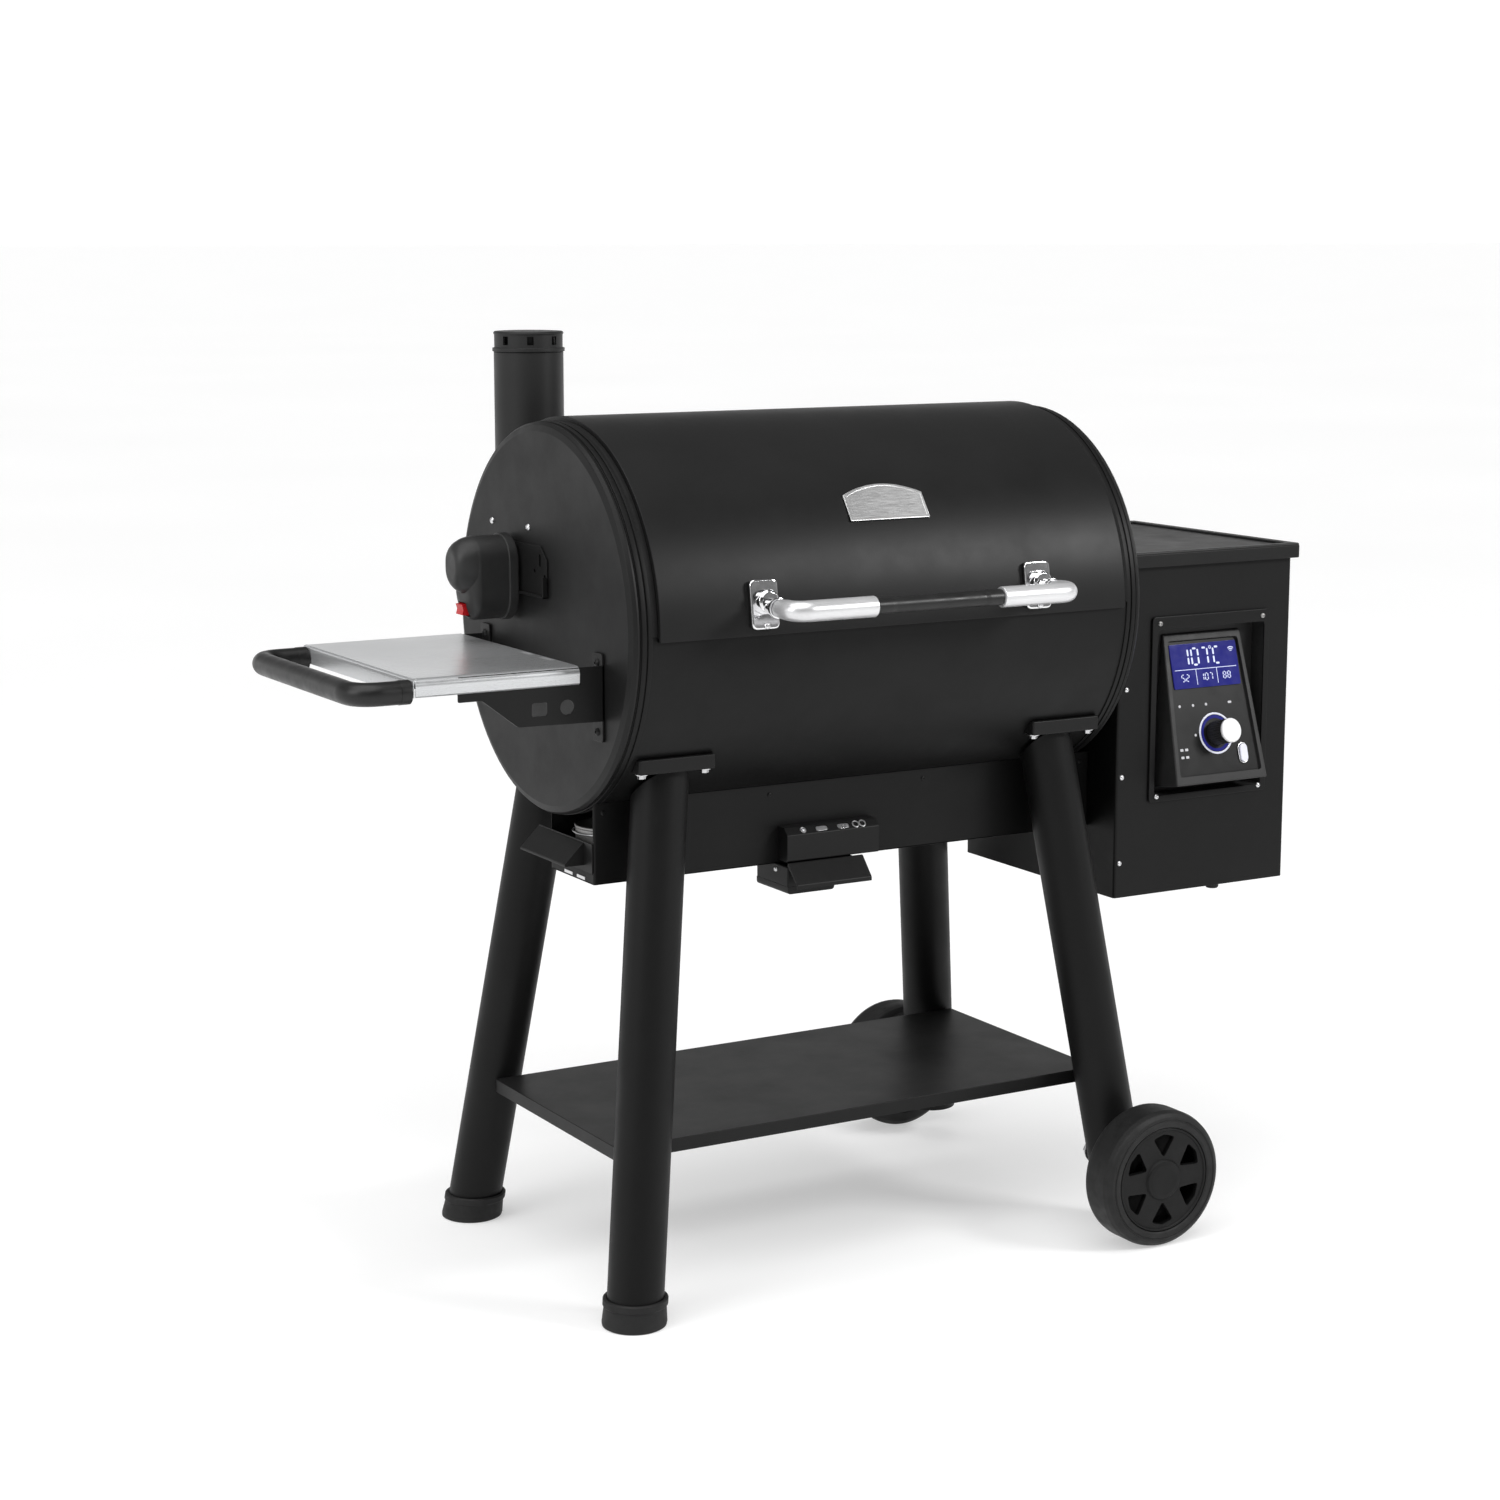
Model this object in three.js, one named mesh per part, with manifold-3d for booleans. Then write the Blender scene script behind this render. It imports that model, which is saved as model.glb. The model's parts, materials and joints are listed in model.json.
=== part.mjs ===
// Pellet smoker grill, millimetres, +Z up, front towards -Y.
// Origin: on the ground, under the middle of the grill.
import * as THREE from "three";
import { mergeVertices } from "three/addons/utils/BufferGeometryUtils.js";
import { ConvexGeometry } from "three/addons/geometries/ConvexGeometry.js";
import Module from "manifold-3d";

const wasm = await Module();
wasm.setup();

// ---- driving dimensions -------------------------------------------------
const GAP = 0.4; // air between touching pieces

const BARREL = { z: 834, outer: 241.5, inner: 238.5, half: 359.6, sides: 48 };
const MOUTH = { half: 328, front: 1.5, rear: 111 }; // angles rise from the front horizontal
const RAIL = { z0: 800, z1: 803, y: 220 };
const CAP = { depth: 10.2, flat: 232, wall: 3 };
const CAP_FACE = BARREL.half + GAP + CAP.depth;
const LID = { inner: 244.6, outer: 248.3, half: 337, front: -0.6, rear: 112.5, lip: 242.3 };
const LID_PIN = { angle: 116, radius: 254, r: 3, knuckle: 5.6, x: 215, post: 26, end: 253 };
const HANDLE = { x: 198, y: -325, z: 868, sleeve: 12.8, grip: 11, gripHalf: 90, bend: 26 };

const FIRE_BOX = { x0: -240, x1: 385, half: 113, z0: 519, wall: 2 };
const FIRE_MOUTH = { x0: -110, x1: 330, half: 70 };
const CHANNEL = { x0: -358, y0: -113, y1: 5, sill: 532 };
const GREASE_MOUTH = { x0: -335, x1: -285, y0: -80, y1: -35 };
const GREASE_PULL = { y0: -90, y1: 35, reach: 28, z0: 540, z1: 570 };
const CLEANOUT = { x0: -98, x1: 38, y0: -137, z0: 524, z1: 567 };
const ASH = { x0: -98, x1: 12, y0: -138, y1: -60, z0: 483, z1: 518.4, sump: 492, sumpX1: -29, wall: 1.5 };
const ASH_PULL = { z0: 494, z1: 523.4, reach: 24, thick: 3 };
const AUGER = { z: 556, tubeR: 31, boreR: 28.5, flightR: 26.5, pitch: 66, x0: 12, x1: 604 };
const POT = { x: -42, r: 48, z0: 521.4, z1: 608 };

const LEG = { r: 35, wall: 2, footX: 370.8, footY: 235, splay: 0.131, top: 664, stub: 45 };
const FOOT = { r: 40, height: 34, floor: 5 };
const WHEEL = { x: 355, r: 90.8, y0: 281, y1: 336.5, hubR: 69.6, axleR: 8 };
const BRACKET = { x: 286, half: 52, shell: 4, flange: 17, lipZ0: 666, lipZ1: 684, lipY: -196 };
const SHELF = { halfX: 361.5, halfY: 174, top: 203, lip: 17.4, sheet: 2 };

const HOPPER = { x0: 385.5, x1: 672.9, half: 174, z0: 430, z1: 876.5, wall: 2 };
const HOPPER_LID = { x0: 380.5, x1: 680, half: 184, top: 891 };
const HOPPER_PIN = { y: 191, z: 877, r: 3, knuckle: 6 };
const STUB = { x: 569, y: -152, r: 9, drop: 9 };
const BIN = { front: -146, slopeTop: 690, throatX: [427, 553], throatHalf: 22, throatZ: 602, throatEnd: 589 };
const DUCT = { x0: 371, half: 110, z0: 700, z1: 800, wall: 4 };
const WINDOW = { half: 93, z0: 560, z1: 791 };
const PANEL = { x: 536.7, top: 775, bottom: 580, topY: -156, bottomY: -209, topHalf: 65.5, bottomHalf: 76.5 };
const KNOB = { u: 3, v: -136, r: 16.5, length: 35 };

const SIDE = { x0: -616, x1: -404, half: 172.5, top: 800, lip: 22, sheet: 2 };
const SIDE_TUBE = { r: 14, x: -681, y: 158, z: 784, bend: 50 };
const STACK = { x: -250, y: 275, r: 45.7, wall: 2, z0: 846, z1: 1150, top: 1177, stubZ: 892, stubR: 38 };
const SPIT = { y: 82, z: 884, r: 5 };
const MOTOR = { half: 31, z0: 828, z1: 933, x0: -440, x1: -376 };
const GRATE = { z: 803.5, bar: 6, halfY: 230, halfX: 325, bars: 9 };

const FULL = 400; // longer than the barrel, for cutting tools
const BEYOND = 500; // outside the legs, for cutting tools

// ---- geometry helpers ---------------------------------------------------
const degrees = THREE.MathUtils.degToRad;

/** Turn a closed three.js geometry into a solid. */
function solid(geometry) {
  const bare = geometry.index ? geometry.toNonIndexed() : geometry.clone();
  for (const name of Object.keys(bare.attributes)) {
    if (name !== "position") bare.deleteAttribute(name);
  }
  const merged = mergeVertices(bare, 1e-3);
  const kept = [];
  const index = merged.index.array;
  for (let i = 0; i < index.length; i += 3) {
    const [a, b, c] = [index[i], index[i + 1], index[i + 2]];
    if (a !== b && b !== c && c !== a) kept.push(a, b, c);
  }
  const vertProperties = new Float32Array(merged.attributes.position.array);
  const make = (tris) =>
    new wasm.Manifold(new wasm.Mesh({ numProp: 3, vertProperties, triVerts: new Uint32Array(tris) }));
  const made = make(kept);
  return made.volume() >= 0 ? made : make(kept.slice().reverse());
}

/** Box between two corners. */
function box(x0, x1, y0, y1, z0, z1) {
  const geometry = new THREE.BoxGeometry(x1 - x0, y1 - y0, z1 - z0);
  geometry.translate((x0 + x1) / 2, (y0 + y1) / 2, (z0 + z1) / 2);
  return solid(geometry);
}

/** Points of an arc, angles in degrees. */
function arc(cx, cy, r, from, to, steps) {
  return Array.from({ length: steps + 1 }, (_, i) => {
    const a = degrees(from + ((to - from) * i) / steps);
    return [cx + r * Math.cos(a), cy + r * Math.sin(a)];
  });
}

/** Geometry of an outline extruded along an axis: (y,z) along x, (x,z) along y, (x,y) along z. */
function prismGeometry(outline, axis, from, to) {
  const shape = new THREE.Shape(outline.map(([u, v]) => new THREE.Vector2(u, v)));
  const geometry = new THREE.ExtrudeGeometry(shape, { depth: to - from, bevelEnabled: false });
  const turn = new THREE.Matrix4();
  if (axis === "x") turn.set(0, 0, 1, from, 1, 0, 0, 0, 0, 1, 0, 0, 0, 0, 0, 1);
  if (axis === "y") turn.set(1, 0, 0, 0, 0, 0, -1, to, 0, 1, 0, 0, 0, 0, 0, 1);
  if (axis === "z") turn.makeTranslation(0, 0, from);
  return geometry.applyMatrix4(turn);
}

function prism(outline, axis, from, to) {
  return solid(prismGeometry(outline, axis, from, to));
}

/** Cylinder along an axis; (a, b) is its centre in the other two axes. */
function rod(axis, r, from, to, a, b, sides = 24) {
  return prism(arc(a, b, r, 0, 360, sides).slice(0, -1), axis, from, to);
}

/** Straight cylinder between two points. */
function strut(p, q, r, sides = 12) {
  const start = new THREE.Vector3(...p);
  const end = new THREE.Vector3(...q);
  const along = end.clone().sub(start);
  const geometry = new THREE.CylinderGeometry(r, r, along.length(), sides);
  const turn = new THREE.Quaternion().setFromUnitVectors(new THREE.Vector3(0, 1, 0), along.normalize());
  geometry.applyQuaternion(turn);
  const middle = start.add(end).multiplyScalar(0.5);
  return solid(geometry.translate(middle.x, middle.y, middle.z));
}

/** Turned solid: profile of (radius, height) points, axis along x, y or z through `at`. */
function turned(profile, axis, at, sides) {
  const geometry = new THREE.LatheGeometry(profile.map(([r, h]) => new THREE.Vector2(r, h)), sides);
  if (axis === "x") geometry.rotateZ(-Math.PI / 2);
  if (axis === "z") geometry.rotateX(Math.PI / 2);
  return solid(geometry.translate(...at));
}

/** Tube along a polyline whose corners are rounded. */
function bentTube(points, bend, r, sides, steps) {
  const corners = points.map((p) => new THREE.Vector3(...p));
  const path = new THREE.CurvePath();
  let from = corners[0];
  for (let i = 1; i < corners.length - 1; i++) {
    const before = corners[i].clone().add(corners[i - 1].clone().sub(corners[i]).setLength(bend));
    const after = corners[i].clone().add(corners[i + 1].clone().sub(corners[i]).setLength(bend));
    path.add(new THREE.LineCurve3(from, before));
    path.add(new THREE.QuadraticBezierCurve3(before, corners[i], after));
    from = after;
  }
  path.add(new THREE.LineCurve3(from, corners[corners.length - 1]));
  const circle = arc(0, 0, r, 0, 360, sides).slice(0, -1);
  const ring = new THREE.Shape(circle.map(([u, v]) => new THREE.Vector2(u, v)));
  return solid(new THREE.ExtrudeGeometry(ring, { extrudePath: path, steps, bevelEnabled: false }));
}

/** Sector of a ring around the barrel's axis; angles rise from the front horizontal. */
function barrelSector(r0, r1, a0, a1, x0, x1, steps) {
  const point = ([u, v]) => [-u, v];
  const outside = arc(0, BARREL.z, r1, a0, a1, steps);
  const inside = arc(0, BARREL.z, r0, a1, a0, steps);
  return prism([...outside, ...inside].map(point).reverse(), "x", x0, x1);
}

function barrelCylinder(r, half = FULL, sides = BARREL.sides) {
  return rod("x", r, -half, half, 0, BARREL.z, sides);
}

const union = (pieces) => pieces.reduce((whole, piece) => whole.add(piece));
const cut = (whole, ...tools) => tools.reduce((rest, tool) => rest.subtract(tool), whole);
const hull = (points) => solid(new ConvexGeometry(points.map((p) => new THREE.Vector3(...p))));

// ---- finishes -------------------------------------------------------------
const finish = (color, roughness, metalness) =>
  new THREE.MeshStandardMaterial({ color, roughness, metalness });
const BLACK_PAINT = finish(0x1b1b1c, 0.45, 0.3);
const DARK_PLASTIC = finish(0x161617, 0.6, 0);
const RUBBER = finish(0x111112, 0.85, 0);
const CHROME = finish(0xd8d9da, 0.15, 1);
const STEEL = finish(0xb9babb, 0.35, 1);
const RED_PLASTIC = finish(0xa81018, 0.4, 0);
const DISPLAY = finish(0x1c2070, 0.1, 0);
const CAST_IRON = finish(0x242424, 0.7, 0.4);

const grill = new THREE.Group();
grill.name = "pellet_smoker_grill";

/** Add one named piece to a group. */
function add(name, piece, material, parent = grill) {
  const { vertProperties, triVerts } = piece.getMesh();
  const geometry = new THREE.BufferGeometry();
  geometry.setAttribute("position", new THREE.BufferAttribute(new Float32Array(vertProperties), 3));
  geometry.setIndex(new THREE.BufferAttribute(new Uint32Array(triVerts), 1));
  geometry.computeVertexNormals();
  const mesh = new THREE.Mesh(geometry, material);
  mesh.name = name;
  parent.add(mesh);
}

// ---- barrel ---------------------------------------------------------------
function barrelBody() {
  const shell = cut(barrelCylinder(BARREL.outer, BARREL.half), barrelCylinder(BARREL.inner));
  const mouth = barrelSector(200, 300, MOUTH.front, MOUTH.rear, -MOUTH.half, MOUTH.half, 22);
  const [low, high] = [560, 640]; // spans the barrel's floor
  const fireMouth = box(FIRE_MOUTH.x0, FIRE_MOUTH.x1, -FIRE_MOUTH.half, FIRE_MOUTH.half, low, high);
  const greaseMouth = box(GREASE_MOUTH.x0, GREASE_MOUTH.x1, GREASE_MOUTH.y0, GREASE_MOUTH.y1, low, high);
  const flue = rod("y", STACK.stubR - 2, 200, 260, STACK.x, STACK.stubZ, 20);
  const rail = (side) => {
    const edge = Math.sqrt(BARREL.inner ** 2 - (BARREL.z - RAIL.z0 - 1) ** 2) + 1.5;
    const [y0, y1] = side < 0 ? [-edge, -RAIL.y] : [RAIL.y, edge];
    return box(-MOUTH.half, MOUTH.half, y0, y1, RAIL.z0, RAIL.z1);
  };
  return cut(union([shell, rail(-1), rail(1)]), mouth, fireMouth, greaseMouth, flue);
}

function endCap(side) {
  const [base, face] = [BARREL.half + GAP, CAP_FACE];
  const at = ([r, x]) => [r, side * x];
  const profile = [
    [0, face - CAP.wall], [CAP.flat - 2, face - CAP.wall], [BARREL.inner, base], [BARREL.outer, base],
    [BARREL.outer, base + 4], [239, face - 2.2], [CAP.flat, face], [0, face],
  ].map(at);
  const spitHole = rod("x", 8, -FULL, FULL, SPIT.y, SPIT.z, 12);
  return cut(turned(profile, "x", [0, 0, BARREL.z], BARREL.sides), spitHole);
}

/** Centre of the lid's hinge pin in y and z. */
const pin = {
  y: -LID_PIN.radius * Math.cos(degrees(LID_PIN.angle)),
  z: BARREL.z + LID_PIN.radius * Math.sin(degrees(LID_PIN.angle)),
};
const LID_KNUCKLES = [-LID_PIN.x, LID_PIN.x];
const LID_STEPS = 22;

function lidShell() {
  const skin = barrelSector(LID.inner, LID.outer, LID.front, LID.rear, -LID.half, LID.half, LID_STEPS);
  const lip = (x0) => barrelSector(LID.lip, LID.inner + 1, LID.front, LID.rear, x0, x0 + 4, LID_STEPS);
  const frontLip = barrelSector(LID.lip, LID.inner + 1, LID.front, 0.4, -LID.half, LID.half, 2);
  const leaf = (x) =>
    union([
      barrelSector(LID.outer - 1, LID.outer + 2.4, 104, 113, x - 26, x + 26, 3),
      barrelSector(LID.outer - 2, LID_PIN.radius + 3, 111.5, 114.9, x - 15, x + 15, 1),
      rod("x", LID_PIN.knuckle, x - 15, x + 15, pin.y, pin.z, 10),
    ]);
  const whole = union([skin, lip(-LID.half), lip(LID.half - 4), frontLip, ...LID_KNUCKLES.map(leaf)]);
  return cut(whole, rod("x", LID_PIN.r + GAP, -FULL, FULL, pin.y, pin.z, 8));
}

function lidHinge() {
  const post = (x) =>
    union([
      barrelSector(BARREL.outer + GAP, BARREL.outer + 3, 118, 128, x - 14, x + 14, 3),
      barrelSector(BARREL.outer + 1, LID_PIN.radius, 116.6, 119, x - 10, x + 10, 1),
      rod("x", LID_PIN.knuckle, x - 10, x + 10, pin.y, pin.z, 10),
    ]);
  const posts = LID_KNUCKLES.flatMap((x) => [post(x - LID_PIN.post), post(x + LID_PIN.post)]);
  return union([rod("x", LID_PIN.r, -LID_PIN.end, LID_PIN.end, pin.y, pin.z, 8), ...posts]);
}

/** Flat arch-topped plate, tangent to the lid. */
function lidBadge() {
  const [halfWidth, foot, shoulder, crown] = [57, -24, 12, 26];
  const top = Array.from({ length: 11 }, (_, i) => {
    const u = halfWidth - (2 * halfWidth * i) / 10;
    return [u, shoulder + (crown - shoulder) * (1 - (u / halfWidth) ** 2)];
  });
  const geometry = prismGeometry([[-halfWidth, foot], [halfWidth, foot], ...top], "z", 0, 2);
  const tilt = degrees(35.2);
  geometry.rotateX(Math.PI / 2 - tilt);
  const out = LID.outer + 0.8;
  return solid(geometry.translate(0, -out * Math.cos(tilt), BARREL.z + out * Math.sin(tilt)));
}

function handlePost(side) {
  const plate = prismGeometry(
    [[-19, -24], [-13, -30], [13, -30], [19, -24], [19, 24], [13, 30], [-13, 30], [-19, 24]], "z", 0, 5);
  const tilt = degrees(8);
  const out = LID.outer + 0.6;
  plate.rotateX(Math.PI / 2 - tilt);
  plate.translate(side * HANDLE.x, -out * Math.cos(tilt), BARREL.z + out * Math.sin(tilt));
  return solid(plate).add(rod("y", 10, -284, -248.8, side * HANDLE.x, HANDLE.z, 16));
}

function handleSleeve(side) {
  const points = [
    [side * HANDLE.x, -284 - GAP, HANDLE.z],
    [side * HANDLE.x, HANDLE.y, HANDLE.z],
    [side * (HANDLE.gripHalf + GAP), HANDLE.y, HANDLE.z],
  ];
  return bentTube(points, HANDLE.bend, HANDLE.sleeve, 12, 12);
}

add("barrel_body", barrelBody(), BLACK_PAINT);
add("left_end_cap", endCap(-1), BLACK_PAINT);
add("right_end_cap", endCap(1), BLACK_PAINT);
add("lid_shell", lidShell(), BLACK_PAINT);
add("lid_hinge", lidHinge(), BLACK_PAINT);
add("lid_badge", lidBadge(), STEEL);
for (const [name, side] of [["left", -1], ["right", 1]]) {
  add(`handle_post_${name}`, handlePost(side), CHROME);
  add(`handle_sleeve_${name}`, handleSleeve(side), CHROME);
}
const grip = rod("x", HANDLE.grip, -HANDLE.gripHalf, HANDLE.gripHalf, HANDLE.y, HANDLE.z, 16);
add("handle_grip", grip, DARK_PLASTIC);

// ---- cooking chamber ------------------------------------------------------
function grate(x0, x1) {
  const { z, bar, halfY, bars } = GRATE;
  const along = (x) => box(x, x + bar, -halfY, halfY, z, z + bar);
  const step = (x1 - x0 - bar) / bars;
  const pieces = Array.from({ length: bars + 1 }, (_, i) => along(x0 + step * i));
  for (const y of [-halfY, -bar / 2, halfY - bar]) pieces.push(box(x0, x1, y, y + bar, z, z + bar - 0.5));
  return union(pieces);
}

function warmingRack() {
  const [x, y0, y1, z, bar, foot] = [285, 105, 170, 946, 5, GRATE.z + GRATE.bar + GAP];
  const pieces = [];
  for (let i = 0; i <= 3; i++) {
    const y = y0 + ((y1 - y0 - bar) * i) / 3;
    pieces.push(box(-x, x, y, y + bar, z, z + bar));
  }
  for (const middle of [-220, -110, 0, 110, 220]) {
    pieces.push(box(middle - 3, middle + 3, y0 + 1, y1 - 1, z + 0.5, z + bar - 0.5));
  }
  for (const sx of [-x, x - bar]) {
    for (const y of [y0, y1 - bar]) pieces.push(box(sx, sx + bar, y, y + bar, foot, z + 1));
    pieces.push(box(sx, sx + bar, y0, y1, z, z + bar));
  }
  return union(pieces);
}

function heatDiffuser() {
  const [half, edge, apex, t] = [151, 650.4, 674, 3];
  const outline = [
    [-half, edge], [0, apex - t], [half, edge], [half, edge + t], [0, apex], [-half, edge + t],
  ];
  return prism(outline, "x", -230, 150);
}

/** Rod with two four-tined forks. */
function spitRod() {
  const tine = (x, dir, dy, dz) =>
    rod("x", 2.8, Math.min(x, x + dir * 60), Math.max(x, x + dir * 60), SPIT.y + dy, SPIT.z + dz, 4);
  const fork = (x, dir) => {
    const arms = [
      rod("x", 13, x - 6, x + 6, SPIT.y, SPIT.z, 8),
      box(x - 3, x + 3, SPIT.y - 32, SPIT.y + 32, SPIT.z - 3, SPIT.z + 3),
      box(x - 3, x + 3, SPIT.y - 3, SPIT.y + 3, SPIT.z - 32, SPIT.z + 32),
    ];
    for (const s of [-29, 29]) arms.push(tine(x, dir, s, 0), tine(x, dir, 0, s));
    return union(arms);
  };
  const shaft = rod("x", SPIT.r, MOTOR.x1 + GAP, CAP_FACE - GAP, SPIT.y, SPIT.z, 8);
  return union([shaft, fork(-130, 1), fork(130, -1)]);
}

add("cooking_grate_left", grate(-GRATE.halfX, -1), CAST_IRON);
add("cooking_grate_right", grate(1, GRATE.halfX), CAST_IRON);
add("warming_rack", warmingRack(), STEEL);
add("heat_diffuser", heatDiffuser(), STEEL);
add("spit_rod", spitRod(), STEEL);

// ---- fire box, grease tray and clean-out ----------------------------------
function fireBox() {
  const { x0, x1, half, z0, wall } = FIRE_BOX;
  const top = 700;
  const chamber = box(x0, x1, -half, half, z0, top);
  const outside = chamber.add(box(CHANNEL.x0, x0 + 1, CHANNEL.y0, CHANNEL.y1, z0, top));
  const inside = box(x0 + wall, x1 - wall, -half + wall, half - wall, z0 + wall, top + 1);
  const [c0, c1] = [CHANNEL.y0 + wall, CHANNEL.y1 - wall];
  const channel = box(CHANNEL.x0 + wall, x0 + 5, c0, c1, z0 + wall, top + 1);
  const endMouth = box(CHANNEL.x0 - 5, CHANNEL.x0 + 5, c0, c1, CHANNEL.sill, top + 1);
  const ashHole = box(-88, 2, -106, -66, z0 - 5, z0 + 5);
  const augerHole = rod("x", AUGER.tubeR + GAP, x1 - 10, x1 + 5, 0, AUGER.z, 20);
  return cut(outside, inside, channel, endMouth, ashHole, augerHole, barrelCylinder(BARREL.outer + GAP));
}

function greaseTray() {
  const [x0, x1, y0, y1, z0, z1, t] = [CHANNEL.x0 - GAP, -246, -109.5, 1.5, 532.6, 560, 1.5];
  const pan = cut(box(x0, x1, y0, y1, z0, z1), box(x0 + t, x1 - t, y0 + t, y1 - t, z0 + t, z1 + 1));
  const { reach, z0: low, z1: high } = GREASE_PULL;
  const face = box(x0 - 1.6, x0 + 0.1, CHANNEL.y0 + 1, GREASE_PULL.y1, z0 + GAP, high);
  const slope = [[x0 - 1, high], [x0 - reach, low + 3], [x0 - reach, low], [x0 - 1, low]];
  return union([pan, face, prism(slope, "y", GREASE_PULL.y0, GREASE_PULL.y1)]);
}

function greaseCan() {
  const [r, z0, z1, t] = [44, 534.6, 582, 1.5];
  return turned([[0, z0], [r - 2, z0], [r, z1], [r - t, z1], [r - 2 - t, z0 + t], [0, z0 + t]], "z",
    [-305, -54, 0], 24);
}

function cleanoutPanel() {
  const { x0, x1, y0, z0, z1 } = CLEANOUT;
  const [y1, t] = [-FIRE_BOX.half - GAP, 2];
  return cut(box(x0, x1, y0, y1, z0, z1), box(x0 + t, x1 - t, y0 + t, y1 + 1, z0 + t, z1 - t));
}

/** Drawer whose left part is deeper, with a slanting pull across its front. */
function ashDrawer() {
  const { x0, x1, y0, y1, z0, z1, sump, sumpX1, wall } = ASH;
  const pan = box(x0, x1, y0, y1, sump, z1).add(box(x0, sumpX1, y0, y1, z0, sump + 1));
  const [c0, c1] = [y0 + wall, y1 - wall];
  const hollow = box(x0 + wall, x1 - wall, c0, c1, sump + wall, z1 + 1);
  const sumpHollow = box(x0 + wall, sumpX1 - wall, c0, c1, z0 + wall, sump + wall + 1);
  const { z0: low, z1: high, reach, thick } = ASH_PULL;
  const [front, bend] = [y0 - reach, low + 4.5];
  const slope = [[y0 + 0.5, high], [y0 - thick, high], [front, bend], [front, low], [front + thick, low],
    [front + thick, bend - thick], [y0 + 0.5, high - 2 * thick]];
  return cut(pan, hollow, sumpHollow).add(prism(slope, "x", x0, x1));
}

function burnPot() {
  const { x, r, z0, z1 } = POT;
  const cup = turned([[30, z0], [r, z0], [r, z1], [r - 3, z1], [r - 3, z0 + 3], [30, z0 + 3], [30, z0]], "z",
    [x, 0, 0], 24);
  return cut(cup, rod("x", AUGER.tubeR - 1, x, x + 80, 0, AUGER.z, 20));
}

add("fire_box", fireBox(), BLACK_PAINT);
add("grease_tray", greaseTray(), BLACK_PAINT);
add("grease_can", greaseCan(), STEEL);
add("cleanout_panel", cleanoutPanel(), BLACK_PAINT);
add("ash_drawer", ashDrawer(), BLACK_PAINT);
add("burn_pot", burnPot(), CAST_IRON);

// ---- auger and fan ----------------------------------------------------------
/** Feed tube with its gearbox and motor on the end. */
function augerHousing() {
  const { x0, x1, tubeR, boreR, z } = AUGER;
  const feed = box(430, 550, -18, 18, z + 15, z + 40);
  const gearbox = box(x1 - 1, x1 + 28, -34, 34, z - 30, z + 30);
  const motor = rod("x", 24, x1 + 22, x1 + 61, 0, z, 20);
  const whole = union([rod("x", tubeR, x0, x1, 0, z, 24), gearbox, motor]);
  return cut(whole, rod("x", boreR, x0 - 1, x1 + 1 + GAP, 0, z, 24), feed);
}

/** Helical flight: a thin rectangle swept round the shaft. */
function augerFlight(x0, x1, rIn, rOut, t, perTurn) {
  const turns = (x1 - x0 - t) / AUGER.pitch;
  const steps = Math.round(turns * perTurn);
  const position = [];
  const index = [];
  for (let i = 0; i <= steps; i++) {
    const a = (i / perTurn) * 2 * Math.PI;
    const x = x0 + (i / perTurn) * AUGER.pitch;
    for (const [r, dx] of [[rIn, 0], [rOut, 0], [rOut, t], [rIn, t]]) {
      position.push(x + dx, r * Math.cos(a), AUGER.z + r * Math.sin(a));
    }
    if (i === steps) break;
    for (let k = 0; k < 4; k++) {
      const [p, q] = [4 * i + k, 4 * i + ((k + 1) % 4)];
      index.push(p, q, q + 4, p, q + 4, p + 4);
    }
  }
  const last = 4 * steps;
  index.push(0, 2, 1, 0, 3, 2, last, last + 1, last + 2, last, last + 2, last + 3);
  const geometry = new THREE.BufferGeometry();
  geometry.setAttribute("position", new THREE.Float32BufferAttribute(position, 3));
  geometry.setIndex(index);
  return solid(geometry);
}

function augerScrew() {
  const { x0, x1, flightR, z } = AUGER;
  const flight = augerFlight(x0 + 4, x1 - 20, 4, flightR, 4, 7);
  return rod("x", 7, x0, x1 + 1, 0, z, 6).add(flight);
}

const FAN = { x0: 452, x1: 500, y: -60, z: 476, r: 42 };

function fanHousing() {
  const { x0, x1, y, z, r } = FAN;
  const drum = rod("x", r, x0, x1, y, z, 20).add(box(x0, x1, y, y + 90, z + 6, z + r));
  const outlet = box(x0 + 2, x1 - 2, y, y + 95, z + 8, z + r - 2);
  const hollow = rod("x", r - 2, x0 + 2, x1 - 2, y, z, 20).add(outlet);
  const eye = rod("x", 26, x1 - 5, x1 + 5, y, z, 12);
  return cut(drum, hollow, eye);
}

function fanRotor() {
  const { x0, x1, y, z, r } = FAN;
  const blades = Array.from({ length: 8 }, (_, i) => {
    const a = (i * Math.PI) / 4;
    const at = (d) => [y + d * Math.cos(a), z + d * Math.sin(a)];
    const [s, c] = [1.2 * Math.sin(a), 1.2 * Math.cos(a)];
    const [[y0, z0], [y1, z1]] = [at(8), at(r - 7)];
    const outline = [[y0 + s, z0 - c], [y1 + s, z1 - c], [y1 - s, z1 + c], [y0 - s, z0 + c]];
    return prism(outline, "x", x0 + 8, x1 - 9);
  });
  const boss = rod("x", 12, x0 + 5, x1 - 8, y, z, 12);
  const plate = rod("x", r - 6, x0 + 5, x0 + 8.5, y, z, 20);
  return union([boss, plate, ...blades]);
}

add("auger_housing", augerHousing(), STEEL);
add("auger_screw", augerScrew(), STEEL);
add("fan_housing", fanHousing(), DARK_PLASTIC);
add("fan_rotor", fanRotor(), DARK_PLASTIC);

// ---- legs, wheels and lower shelf -------------------------------------------
/** Centre of a leg at height z. */
function legAt(sx, sy, z) {
  return [sx * (LEG.footX - LEG.splay * z), sy * (LEG.footY - LEG.splay * z), z];
}

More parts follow.
